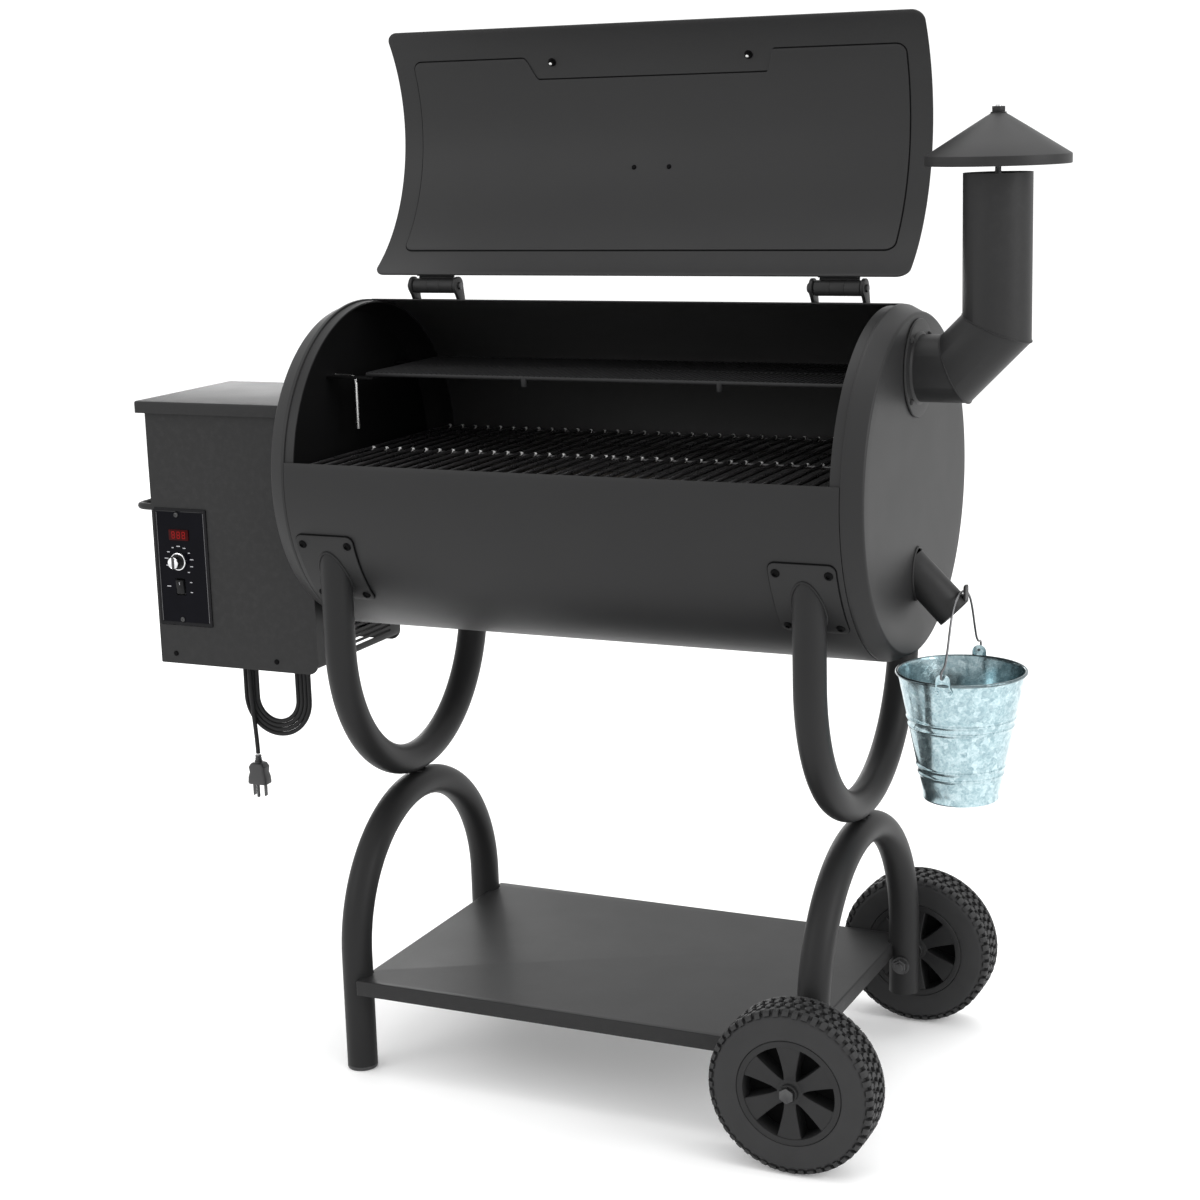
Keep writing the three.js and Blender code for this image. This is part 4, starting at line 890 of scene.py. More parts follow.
# handle: bar with turned ends on two standoffs
a = rad(160.7)
cA = lambda x, r: (x, r * math.cos(a), 800 + r * math.sin(a))
c_ = cA(0, 272)
bm = lathe(
    [(0, -185), (8.2, -185), (10.2, -184), (11, -182), (11, -174), (9.6, -172), (9.6, -170), (11, -168), (11, 168), (9.6, 170), (9.6, 172), (11, 174), (11, 182), (10.2, 184), (8.2, 185), (0, 185)],
    "x",
    c_,
    48,
)
for x in (-139, 139):
    cyl(cA(x, 223.4), cA(x, 228.3), 13, 40, bm=bm, chamfer=1.2)
    cyl(cA(x, 226), cA(x, 268), 7, 32, bm=bm)
on_lid(bm)
emit("lid_grip", bm, STEEL, "lid", "lid_handle")

bm = ring_band(-62, 62, 223.3, 225.2, 117.8, 129.8, 14)
on_lid(bm)
emit("lid_badge", bm, STEEL, "lid", "lid_badge_plate", bev=0.5, bev_limit=50)

# ------------------------------------------------------------------ hinges
for side, cx in (("left", -285), ("right", 285)):
    # barrel side: curved foot, two cheeks, fixed pin with heads, screws
    bm = curved_sheet(
        [cx - 36, cx - 34.8, cx - 32, cx - 16, cx, cx + 16, cx + 32, cx + 34.8, cx + 36],
        lambda x: 66 + (0.7 if abs(x - cx) > 35.5 else 0.2 if abs(x - cx) > 34 else 0),
        lambda x: 76.5,
        220.3,
        222.7,
        10,
    )
    for x0 in (cx - 36, cx + 31.5):
        pts = [(60, 1011.2), (42, 1016.6), (HY0 - 5.2, 1023.5)]
        pts += [(HY0 + 12.3 * math.cos(rad(t)), HZ0 + 12.3 * math.sin(rad(t))) for t in range(200, -9, -16)]
        prism(pts, "x", x0, x0 + 4.5, bm)
    emit(f"hinge_{side}_foot", bm, PAINT, "body", f"hinge_base_{side}", bev=0.5, bev_limit=40)
    bm = lathe(
        [(0, -41), (3.6, -41), (5.4, -40.2), (6.6, -38.8), (6.9, -37.0), (5, -36.9), (5, 36.5), (5, 38.6), (4.3, 39), (0, 39)],
        "x",
        (cx, HY0, HZ0),
        32,
    )
    for dx in (-24, 24):
        a_ = rad(71.2)
        at = lambda r: (cx + dx, r * math.cos(a_), 800 + r * math.sin(a_))
        cyl(at(222), at(225.2), 4.0, 24, 3.2, bm=bm)
    emit(f"hinge_{side}_pin", bm, BLACKENED, "body")
    # lid side: leaf, rolled knuckle in three barrels with a curled lip
    bm = curved_sheet(
        [cx - 26, cx - 25, cx - 22, cx, cx + 22, cx + 25, cx + 26],
        lambda x: 80.6,
        lambda x: 92 - (0.5 if abs(x - cx) > 25.5 else 0.12 if abs(x - cx) > 24.5 else 0),
        223.3,
        226.1,
        8,
    )
    knuckle = lathe([(5.35, -30.4), (9.2, -30.4), (9.9, -29.6), (9.9, -9.6), (9.3, -9.1), (9.9, -8.6), (9.9, 9.4), (9.3, 9.9), (9.9, 10.4), (9.9, 29.6), (9.2, 30.4), (5.35, 30.4)], "x", (cx, HY0, HZ0), 40, closed=True, bm=bm)
    prism([(HY0 - 9.8, HZ0 - 2.0), (HY0 - 22.2, 1024.0), (HY0 - 20.2, 1023.35), (HY0 - 7.5, HZ0 - 6.3)], "x", cx - 26, cx + 26, bm)
    for dx in (-15, 15):
        a_ = rad(87.5)
        at = lambda r: (cx + dx, r * math.cos(a_), 800 + r * math.sin(a_))
        cyl(at(225.8), at(228.0), 3.6, 20, 2.9, bm=bm)
    on_lid(bm)
    emit(f"hinge_{side}_knuckle", bm, PAINT, "lid", f"hinge_leaf_{side}", bev=0.35, bev_limit=50)

# ------------------------------------------------------------------ chimney
SX = 497.5
bm = lathe([(41.2, 400.3), (58.6, 400.3), (60, 400.9), (60, 402.1), (59.2, 403.1), (58.2, 403.3), (44.5, 403.3), (43.4, 404.6), (42.6, 405.6), (41.2, 406)], "x", (0, 0, 943), 96, closed=True)
emit("chimney_ring", bm, PAINT, "body", "chimney_flange", sharp=40)
bm = bmesh.new()
for a_ in (45, 135, 225, 315):
    y, z = 52 * math.cos(rad(a_)), 943 + 52 * math.sin(rad(a_))
    lathe([(0, 406.3), (2.0, 406.2), (3.4, 405.4), (4, 404.2), (4, 403.3)], "x", (0, y, z), 24, bm=bm)
emit("chimney_ring_rivets", bm, PAINT, "body", sharp=50)


def mitred(r, seg, ext0=0.0, ext1=0.0):
    k = 1 / math.cos(rad(22.5))
    P = [(396 - ext0, 943), (447.5, 943), (SX, 993), (SX, 1175 + ext1)]
    D = [(1, 0), (math.cos(rad(22.5)), math.sin(rad(22.5))), (math.cos(rad(67.5)), math.sin(rad(67.5))), (0, 1)]
    rows = []
    for i, ((x, z), (dx, dz)) in enumerate(zip(P, D)):
        w = k if i in (1, 2) else 1
        rows.append([(x - dz * r * w * math.cos(t), r * math.sin(t), z + dx * r * w * math.cos(t)) for t in (2 * math.pi * j / seg for j in range(seg))])
    return rows


bm = bmesh.new()
o_ = [[bm.verts.new(p) for p in s] for s in mitred(41, 96)]
i_ = [[bm.verts.new(p) for p in s] for s in mitred(39.4, 96)]
quads(bm, o_, False, True)
quads(bm, i_, False, True, 1)
for k in (0, -1):
    quads(bm, [o_[k], i_[k]], False, True)
emit("chimney_stack", bm, [PAINT, PAINT_IN], "body", "chimney_pipe", sharp=20)
# weld beads at the two mitres
bm = bmesh.new()
for i in (1, 2):
    ring_ = mitred(41.15, 96)[i]
    tube(ring_ + [ring_[0]], 0.9, 8, bm=bm, up=(1, 0, 0), caps=False)
emit("chimney_welds", bm, PAINT, "body", sharp=80)
bm = block(SX - 40, SX + 40, -6, 6, 1150, 1152.5)
emit("chimney_crossbar", bm, PAINT, "body", bev=0.5)
prof = [(0, 1151)]
z = 1153.0
prof += [(3.9, 1151)]
while z < 1250:
    prof += [(3.9, z), (3.4, z + 0.6)]
    z += 1.25
prof += [(3.6, 1251.2), (2.8, 1252.6), (0, 1252.8)]
bm = lathe(prof, "z", (SX, 0, 0), 24)
emit("chimney_rod", bm, ZINC, "body", sharp=50)
# cowl: spun cone, rolled rim, washer and wing nut head
bm = lathe(
    [(84.2, 1184.2), (85.0, 1184.0), (85.7, 1184.8), (85.7, 1194.2), (85.4, 1195.3), (84.4, 1196.2), (60, 1211.4), (36, 1226.4), (14, 1240.0), (11, 1241.6), (9.5, 1242.8), (9.0, 1243.2), (5.0, 1243.2), (5.0, 1241.2), (12, 1238.6), (36, 1224.0), (60, 1209.2), (83.6, 1194.4), (84.2, 1193.4)],
    "z",
    (SX, 0, 0),
    120,
    closed=True,
)
emit("chimney_cowl_cone", bm, [PAINT], "chimney_cowl", "chimney_cap", sharp=28)
bm = lathe([(4.95, 1243.2), (9.4, 1243.2), (9.4, 1244.4), (4.95, 1244.4)], "z", (SX, 0, 0), 32, closed=True)
lathe([(4.95, 1244.4), (7.6, 1244.4), (7.95, 1244.9), (7.95, 1250.3), (7.5, 1250.9), (4.95, 1250.9)], "z", (SX, 0, 0), 6, closed=True, bm=bm)
emit("chimney_cowl_nut", bm, PAINT, "chimney_cowl", bev=0.25, bev_limit=50)

# ------------------------------------------------------------------ grease spout
tx, tz = 447.5, 642.0
d = Vector((1, 0, -1)).normalized()
u_, v_ = Vector((1, 0, 1)).normalized(), Vector((0, 1, 0))


def ring45(s, r, seg=64):
    c = Vector((tx, 0, tz)) - d * s
    return [c + u_ * r * math.cos(2 * math.pi * j / seg) + v_ * r * math.sin(2 * math.pi * j / seg) for j in range(seg)]


bm = bmesh.new()
rows = [[bm.verts.new(p) for p in ring45(s, r)] for s, r in ((84, 23), (1.0, 23), (0.2, 22.6), (0, 21.9), (0.2, 21.2), (1.0, 21.0), (84, 21.0))]
quads(bm, rows[:4], False, True)
quads(bm, rows[3:], False, True, 1)
quads(bm, [rows[0], rows[-1]], False, True)
emit("grease_pipe", bm, [PAINT, PAINT_IN], "body", "drain_spout", sharp=50)
# weld bead round the pipe where it meets the cap
pts = []
for j in range(65):
    t = 2 * math.pi * j / 64
    p = u_ * 23.2 * math.cos(t) + v_ * 23.2 * math.sin(t)
    # where the slanted pipe crosses the cap's flat face
    s = (400.6 - (tx + p.x)) / d.x
    pts.append(Vector((tx, 0, tz)) + p + d * s)
bm = tube(pts, 1.7, 10, up=(1, 0, 0), caps=False)
emit("grease_pipe_weld", bm, PAINT, "body", sharp=80)
bm = prism(rounded([(-7, 652.0), (7, 652.0), (7, 678), (-7, 678)], [0, 0, 4, 4], 6), "x", 459.6, 462.6)
bm = boolean(bm, cyl((387.5, 0, 702), (467.5, 0, 622), 22.2, 48))
emit("grease_pipe_hook", bm, PAINT, "body", bev=0.5)

# ------------------------------------------------------------------ bucket
BX, BR0, BR1, BZ0, BZ1 = 456.0, 46.0, 79.0, 407.0, 571.0


def br(z):
    return BR0 + (BR1 - BR0) * (z - BZ0) / (BZ1 - BZ0)


out = [(0, 410), (40, 410), (43, 409.8), (44, 408.6), (44.2, 407.2), (44.9, 407.0), (46.4, 407.0), (47.0, 407.6), (47.1, 409)]
z = 412.0
while z < 566:
    bump_ = 0.0
    for zc in (446, 508):
        for off in (-5.0, 5.0):
            bump_ += 1.15 * math.exp(-(((z - zc - off) / 1.7) ** 2))
    out.append((br(z) + bump_, z))
    z += 1.0 if min(abs(z - 446), abs(z - 508)) < 11 else 6.0
rim = [(BR1 + 0.6 + 2.0 * math.cos(rad(t)), 569.0 + 2.0 * math.sin(rad(t))) for t in range(-110, 181, 20)]
inner = [(br(566) - 0.9, 566)]
z = 560.0
while z > 412:
    bump_ = 0.0
    for zc in (446, 508):
        for off in (-5.0, 5.0):
            bump_ += 1.15 * math.exp(-(((z - zc - off) / 1.7) ** 2))
    inner.append((br(z) - 0.9 + bump_, z))
    z -= 1.0 if min(abs(z - 446), abs(z - 508)) < 11 else 6.0
inner += [(br(412.5) - 1.0, 412.2), (43, 411.3), (0, 411.2)]
bm = lathe(out + rim[:1], "z", (BX, 0, 0), 128)
lathe(rim, "z", (BX, 0, 0), 128, bm=bm, mat=2)
lathe([rim[-1]] + inner, "z", (BX, 0, 0), 128, bm=bm, mat=1)
bmesh.ops.remove_doubles(bm, verts=bm.verts, dist=1e-4)
emit("bucket_skin", bm, [GALV, GALV_IN_SHADE, GALV_RIM_SHADE], "bucket", "bucket_shell", sharp=55)
bm = bmesh.new()
# side seam, standing lapped strip at the back
sec = []
for z in (412, 440, 446, 452, 500, 508, 516, 560, 565):
    r = br(z) + 0.1
    y = r * math.sin(rad(64))
    x = BX + r * math.cos(rad(64))
    n_ = Vector((math.cos(rad(64)), math.sin(rad(64)), 0))
    t_ = Vector((-n_.y, n_.x, 0))
    c_ = Vector((x, y, z))
    sec.append([c_ - t_ * 2.6, c_ - t_ * 2.2 + n_ * 1.1, c_ + t_ * 2.2 + n_ * 1.1, c_ + t_ * 2.6])
loft(sec, True, True, bm)
# ears: riveted patch below the rim and a rounded loop above it
for s in (-1, 1):
    y_in = BR1 + 0.5
    ear = rounded([(-13.5, 554), (13.5, 554), (9.2, 567), (8.6, 583.5), (-8.6, 583.5), (-9.2, 567)], [5, 5, 5, 8.2, 8.2, 5], 7)
    cols = []
    lo_v, hi_v = [], []
    pts = [(BX + p[0], p[1]) for p in ear]

    def lay(p, off):
        x, z = p
        if z < 566:
            r = br(z) + off
            yy = math.sqrt(max(1, r * r - (x - BX) ** 2))
        else:
            yy = BR1 + 1.0 + off
        return (x, s * yy, z)

    a_ = [bm.verts.new(lay(p, 0.1)) for p in pts]
    b_ = [bm.verts.new(lay(p, 1.5)) for p in pts]
    # fans of quads over the patch keep it on the round wall
    def fill(ring_vs, off):
        n = len(pts)
        c = bm.verts.new(lay((BX, 565), off))
        for i in range(n):
            bm.faces.new([ring_vs[i], ring_vs[(i + 1) % n], c])

    fill(a_, 0.1)
    fill(b_, 1.5)
    quads(bm, [a_, b_], False, True)
    for dx, dz in ((-8, 560), (8, 560)):
        r = br(dz) + 1.0
        yy = math.sqrt(r * r - dx * dx)
        n_ = Vector((dx, s * yy, 0)).normalized()
        c_ = Vector((BX + dx, s * yy, dz))
        cyl(tuple(c_), tuple(c_ + n_ * 1.6), 2.6, 20, 1.7, bm=bm)
emit("bucket_ears", bm, GALV_EAR_LIT, "bucket", sharp=40)

half = [(0, 669), (8, 668.5), (17, 666.2), (28, 661.5), (39, 652), (49, 636), (58, 616), (66, 600), (73, 592.3), (78, 589.8), (BR1 + 7, 588), (BR1 + 9.2, 584), (BR1 + 8.6, 579.6), (BR1 + 5.2, 578.2), (BR1 - 2.6, 578.0)]
P = [(BX, -y, z) for y, z in reversed(half[1:])] + [(BX, y, z) for y, z in half]
bm = tube(smooth_path(P, 2.0), 1.45, 14, up=(1, 0, 0))
emit("bucket_handle_wire", bm, WIRE, "bail", "bucket_bail")

# ------------------------------------------------------------------ frame tubes
LX, LY = 324.0, 185.0


def arch(spring, height, up, end, n=64):
    s = 1 if up else -1
    pts = []
    k = 8
    for i in range(k):
        pts.append((-LY, end + (spring - end) * i / k))
    for i in range(n + 1):
        a = math.pi * i / n
        pts.append((-LY * math.cos(a), spring + s * height * math.sin(a)))
    for i in range(k):
        pts.append((LY, spring + (end - spring) * (i + 1) / k))
    return pts


for side, x in (("left", -LX), ("right", LX)):
    P = [(x, y, z) for y, z in arch(586, 198, False, 742)]
    bm = tube(P, 20.5, 48, ri=18.5, up=(1, 0, 0))
    bm = boolean(bm, cyl((-420, 0, 800), (420, 0, 800), 222.9, 160))
    emit(f"frame_u_{side}", bm, PAINT_TUBE, "body", f"upper_frame_tube_{side}", sharp=50)
    # weld fillets where each upright meets its curved saddle plate
    bm = bmesh.new()
    for s in (-1, 1):
        pts = []
        R = 222.9 + 0.3
        for j in range(65):
            t = 2 * math.pi * j / 64
            r = 20.9
            y = s * LY + r * math.sin(t)
            xx = x + r * math.cos(t)
            zz = 800 - math.sqrt(R * R - y * y)
            pts.append((xx, y, zz))
        tube(pts, 1.5, 10, bm=bm, up=(0, 0, 1), caps=False)
    emit(f"frame_u_welds_{side}", bm, PAINT_TUBE, "body", sharp=80)
    end = 5.3 if side == "left" else 62
    P = [(x, y, z) for y, z in arch(158.7, 188, True, end)]
    bm = tube(P, 20.5, 48, ri=18.5, up=(1, 0, 0))
    if side == "right":
        bm = boolean(bm, cyl((326, -260, 105.5), (326, 260, 105.5), 6.6, 32))
    emit(f"frame_arch_{side}", bm, PAINT_TUBE, "body", f"lower_frame_tube_{side}", sharp=50)
    dir_ = 1 if x < 0 else -1
    bm = bmesh.new()
    for y in (-LY, LY):
        xs_ = sorted((x + dir_ * 19.5, x + dir_ * 44))
        prism(rounded([(xs_[0], y - 9), (xs_[1], y - 9), (xs_[1], y + 9), (xs_[0], y + 9)], 3, 4), "z", 109.4, 112.7, bm)
        cyl((x + dir_ * 34, y, 109.6), (x + dir_ * 34, y, 105.8), 5.0, 6, bm=bm)
    emit(f"frame_tabs_{side}", bm, PAINT, "body", bev=0.3)

# weld between the two bent tubes at their crowns
for side, x in (("left", -LX), ("right", LX)):
    bm = bmesh.new()
    for s in (-1, 1):
        pts = [(x + 12 * math.sin(rad(t)), s * (9.5 + 3.0 * math.cos(rad(t * 1.0)) - 3), 367.3) for t in range(-60, 61, 10)]
        tube(pts, lambda i, n_=len(pts): 1.9 * math.sin(math.pi * (i + 0.6) / (n_ + 0.2)) + 0.4, 10, bm=bm, up=(0, 0, 1))
    emit(f"frame_crown_weld_{side}", bm, PAINT_TUBE, "body", sharp=80)

for end_, y in (("front", -LY), ("rear", LY)):
    bm = lathe([(0, 0), (18.6, 0), (20.0, 0.6), (20.5, 1.8), (20.5, 4.4), (20.1, 5.0), (17.2, 5.2), (17.2, 20.6), (16.2, 22), (0, 22)], "z", (-LX, y, 0), 48)
    emit(f"foot_cap_{end_}", bm, PLASTIC, "body", f"foot_glide_{end_}", sharp=40)

# ------------------------------------------------------------------ saddles
for side, x in (("left", -LX), ("right", LX)):
    for front in (True, False):
        nm = f"saddle_{'front' if front else 'rear'}_{side}"
        A = (lambda q: 180 + q) if front else (lambda q: -q)
        half_, r = 42.0, 9.0
        xs = sorted({round(x + sg * (half_ - r + r * math.sin(rad(i * 15))), 4) for i in range(7) for sg in (-1, 1)} | {x - 20, x, x + 20})
        c_top = lambda q: corner(q - x, half_, r) * DEG
        lo_, hi_ = sorted((A(16.6), A(44.5)))
        bm = curved_sheet(xs, lambda q: lo_ + c_top(q), lambda q: hi_ - c_top(q), 220.3, 222.7, 16)
        emit(nm + "_plate", bm, PAINT, "body", nm, bev=0.5, bev_limit=50)
        # thin black sheet round the plate, a painted shadow line at its edge
        g_ = 1.1
        xs_g = [x + (q - x) * (half_ + g_) / half_ for q in xs]
        cg = lambda q: corner(q - x, half_ + g_, r + g_) * DEG
        bm = curved_sheet(xs_g, lambda q: lo_ - g_ * DEG + cg(q), lambda q: hi_ + g_ * DEG - cg(q), 220.15, 221.2, 16)
        emit(nm + "_shadow_line", bm, DARK, "body", sharp=60)
        bm = bmesh.new()
        for dx in (-33, 33):
            for q in (20.0, 41.5):
                a_ = rad(A(q))
                at = lambda r_: (x + dx, r_ * math.cos(a_), 800 + r_ * math.sin(a_))
                # button head with a socket
                p0 = Vector(at(222.6))
                n_ = (Vector(at(223.6)) - p0).normalized()
                t1 = Vector((1, 0, 0))
                t2 = n_.cross(t1)
                rows = []
                for r_, h in ((5.6, 0), (5.6, 0.5), (5.2, 1.4), (4.3, 2.3), (3.4, 2.75), (2.6, 2.9), (2.5, 1.2)):
                    rows.append([bm.verts.new(p0 + n_ * h + t1 * r_ * math.cos(2 * math.pi * j / 24) + t2 * r_ * math.sin(2 * math.pi * j / 24)) for j in range(24)])
                quads(bm, rows, False, True)
                bm.faces.new(rows[0])
                bm.faces.new(rows[-1])
        emit(nm + "_bolts", bm, DARK, "body", sharp=40)

# ------------------------------------------------------------------ shelf
SHX, SHY, ST, SF = 312.0, 211.5, 133.0, 20.0
ro_ = rounded([(-SHX, -SHY), (SHX, -SHY), (SHX, SHY), (-SHX, SHY)], 2.2, 5)
ri_ = rounded([(-SHX + 1.5, -SHY + 1.5), (SHX - 1.5, -SHY + 1.5), (SHX - 1.5, SHY - 1.5), (-SHX + 1.5, SHY - 1.5)], 1.0, 5)
f_ = 2.2
rows = []
for z, dlt in ((ST - SF, 0), (ST - f_, 0), (ST - f_ * 0.62, 0.13 * f_), (ST - f_ * 0.3, 0.3 * f_), (ST - f_ * 0.08, 0.62 * f_), (ST, f_)):
    kx, ky = (SHX - dlt) / SHX, (SHY - dlt) / SHY
    rows.append([(p[0] * kx, p[1] * ky, z) for p in ro_])
bm = bmesh.new()
vo = [[bm.verts.new(p) for p in s] for s in rows]
vi = [[bm.verts.new((p[0], p[1], z)) for p in ri_] for z in (ST - SF, ST - 1.5)]
quads(bm, vo, False, True)
quads(bm, vi, False, True)
quads(bm, [vo[0], vi[0]], False, True)
bm.faces.new(vo[-1])
bm.faces.new(vi[-1])
for x in (-LX, LX):
    for y in (-LY, LY):
        bm = boolean(bm, cyl((x, y, 100), (x, y, 145), 21.5, 64))
emit("shelf_pan", bm, PAINT, "body", "bottom_shelf", sharp=50)
# ------------------------------------------------------------------ wheels
WX, WZ, WR = 326.0, 105.5, 105.3
Y_IN, Y_OUT = 223.2, 283.7
for n_, s in (("front", -1), ("rear", 1)):
    # stub axle: rod, inner nut and washer against the leg, collar, end nut
    bm = bmesh.new()
    for y0, y1, r_, sg, ch in ((152, 288.4, 6, 32, 0.8), (284.1, 289.4, 10, 6, 0.9), (206.2, 222.8, 9.5, 40, 1.0), (155, 161.9, 10, 6, 0.9), (161.4, 163.8, 12.5, 40, 0.5)):
        a0, a1 = sorted((s * y0, s * y1))
        cyl((WX, a0, WZ), (WX, a1, WZ), r_, sg, bm=bm, chamfer=ch)
    emit(f"axle_{n_}", bm, BLACKENED, "body", f"wheel_axle_{n_}", sharp=35)

for n_, s in (("front", -1), ("rear", 1)):
    ym = s * (Y_IN + Y_OUT) / 2
    body = f"wheel_{n_}"
    h = (Y_OUT - Y_IN) / 2
    # tyre carcass: flat sidewalls, tight shoulders
    half_p = [
        (66.4, -h + 6.0),
        (66.5, -h + 3.4),
        (67.2, -h + 2.5),
        (69.0, -h + 2.0),
        (80.0, -h + 1.5),
        (92.0, -h + 1.4),
        (95.2, -h + 2.0),
        (97.8, -h + 4.0),
        (99.4, -h + 7.0),
        (100.6, -h + 12.0),
        (101.0, -h + 20.0),
    ]
    prof = half_p + [(r, -y) for r, y in reversed(half_p)]
    bm = lathe(prof, "y", (WX, ym, WZ), 144, closed=True)
    # tread: zig-zag blocks round the crown and lugs that fold over each shoulder
    NB = 52
    for i in range(NB):
        th = 2 * math.pi * i / NB

        def pt(r, y, da):
            t = th + da / r if r else th
            return (WX + r * math.cos(t), ym + y, WZ + r * math.sin(t))

        def blk(poly, r0, r1, dr=0.7):
            """poly of (tangential mm, y) from r0 to r1, its top edges eased."""
            cy_ = sum(p[1] for p in poly) / len(poly)
            cx_ = sum(p[0] for p in poly) / len(poly)
            sec = []
            for r, k in ((r0, 1.0), (r1 - dr, 1.0), (r1, 0.86)):
                sec.append([pt(r, cy_ + (y - cy_) * k, cx_ + (x - cx_) * k) for x, y in poly])
            loft(sec, True, True, bm)

        w = 2 * math.pi * 103 / NB
        # two centre chevrons
        for o_, sg in ((0.0, 1), (0.5, -1)):
            c = o_ * w
            blk([(c - 4.3, sg * 0.9), (c + 2.0, sg * 0.9), (c + 4.3, sg * 6.6), (c + 2.0, sg * 12.2), (c - 4.3, sg * 12.2), (c - 2.0, sg * 6.6)], 100.4, WR)
        for sg in (-1, 1):
            c = (0.25 if sg > 0 else 0.75) * w
            blk([(c - 4.0, sg * 14.0), (c + 3.1, sg * 14.0), (c + 4.3, sg * 20.5), (c + 1.7, sg * 22.4), (c - 4.3, sg * 21.0), (c - 2.6, sg * 17.4)], 100.0, WR - 0.3)
            # shoulder lug, stepping down the sidewall
            c2 = (0.75 if sg > 0 else 0.25) * w
            hw = 3.9 if i % 2 else 3.3
            lo_l = 98.8 if i % 2 else 97.4
            prof_l = [(99.0, 18.6), (104.6, 18.8), (104.3, 23.4), (103.0, 26.4), (100.6, 28.3), (lo_l, 29.0), (lo_l - 0.4, 27.6), (97.0, 24.6)]
            a_ = [pt(r, sg * y, c2 - hw) for r, y in prof_l]
            b_ = [pt(r, sg * y, c2 + hw) for r, y in prof_l]
            loft([a_, b_], True, True, bm)
    emit(f"tyre_{n_}", bm, TYRE, body, f"wheel_tyre_{n_}", sharp=34)
    # hub: rim ring flush with the sidewall, small boss, six flat-faced spokes
    rim_p = [(66.3, -27.4), (65.6, -28.3), (60.0, -28.5), (58.7, -28.1), (58.2, -27.0), (58.0, 0), (58.2, 27.0), (58.7, 28.1), (60.0, 28.5), (65.6, 28.3), (66.3, 27.4), (66.3, 0)]
    bm = lathe(rim_p, "y", (WX, ym, WZ), 96, closed=True)
    boss = [(6.4, -h + 0.2), (10.4, -h + 0.2), (11.2, -h + 1.0), (11.6, -24.0), (15.6, -23.2), (16.8, -22.0), (16.8, 22.0), (15.6, 23.2), (11.6, 24.0), (11.2, h - 1.0), (10.4, h - 0.2), (6.4, h - 0.2)]
    lathe(boss, "y", (WX, ym, WZ), 48, closed=True, bm=bm)
    for i in range(6):
        th = math.pi * (i + 0.5) / 3
        sec = []
        for r, w, dp in ((14.5, 7.6, 23.0), (22, 7.8, 23.4), (32, 9.6, 24.2), (44, 12.2, 25.4), (52, 14.2, 26.4), (59.0, 16.4, 27.2)):
            sh = [(-w, -dp + 0.9), (-w + 0.9, -dp), (w - 0.9, -dp), (w, -dp + 0.9), (w, dp - 0.9), (w - 0.9, dp), (-w + 0.9, dp), (-w, dp - 0.9)]
            sec.append([(WX + r * math.cos(th) - p[0] * math.sin(th), ym + p[1], WZ + r * math.sin(th) + p[0] * math.cos(th)) for p in sh])
        loft(sec, True, True, bm)
    # web that closes the windows half way through, coloured near-black as painted shade in the windows
    lathe([(16, -1.6), (58.4, -1.6), (58.4, 1.6), (16, 1.6)], "y", (WX, ym, WZ), 64, closed=True, bm=bm, mat=1)
    emit(f"hub_{n_}", bm, [HUBP, HUB_WEB_SHADE], body, f"wheel_hub_{n_}", sharp=30)

# ------------------------------------------------------------------ hopper
CX0, CX1, CY, CZ0, CZ1 = -662.0, -406.0, 112.0, 522.0, 886.0
outl = rounded([(CX0, CZ0), (CX1, CZ0), (CX1, CZ1), (CX0, CZ1)], [1.5, 16, 0.8, 0.8], 8)
inl = rounded([(CX0 + 1.5, CZ0 - 5), (CX1 - 1.5, CZ0 - 5), (CX1 - 1.5, CZ1 + 5), (CX0 + 1.5, CZ1 + 5)], 0, 1)
bm = prism(outl, "y", -CY, CY)
bm = boolean(bm, prism(inl, "y", -CY + 1.5, CY - 1.5))
bm = boolean(bm, block(CX1 - 10, CX1 + 10, -34.5, 34.5, 598.5, 667.5))
bm = boolean(bm, block(-628.5, -612.5, -CY - 5, -CY + 5, 620, 644))
for i in range(6):
    bm = boolean(bm, prism(rounded([(-84, 541 + 7.4 * i), (84, 541 + 7.4 * i), (84, 544.6 + 7.4 * i), (-84, 544.6 + 7.4 * i)], 1.7, 4), "x", CX1 - 10, CX1 + 10))
emit("hopper_case", bm, [PAINT], "body", "hopper_casing", bev=0.6, bev_limit=60, sharp=40)
bm = bmesh.new()
for x in (-637, -472):
    # pan-head screws
    rows = []
    for r, y in ((3.7, -CY), (3.7, -CY - 0.7), (3.2, -CY - 1.35), (2.2, -CY - 1.6)):
        rows.append([bm.verts.new((x + r * math.cos(2 * math.pi * j / 24), y, 536 + r * math.sin(2 * math.pi * j / 24))) for j in range(24)])
    quads(bm, rows, False, True)
    bm.faces.new(rows[-1])
    bm.faces.new(rows[0])
emit("hopper_screws", bm, DARK, "body", sharp=45)
bm = bmesh.new()
for x in (-625, -440):
    prism(rounded([(CY - 0.5, 868), (CY + 10.2, 868), (CY + 10.2, 880.4), (CY - 0.5, 880.4)], [0, 3, 5, 0], 5), "x", x, x + 5, bm)
    cyl((x - 14, 119, 877), (x + 19, 119, 877), 2.5, 24, bm=bm, chamfer=0.5)
cyl((HX, -CY + 1, 576.3), (HX, -30, 576.3), 4.6, 24, bm=bm, chamfer=0.8)
block(-584, -562, -CY + 1, -28, 600, 602, bm)
emit("hopper_fittings", bm, PAINT, "body", sharp=40)

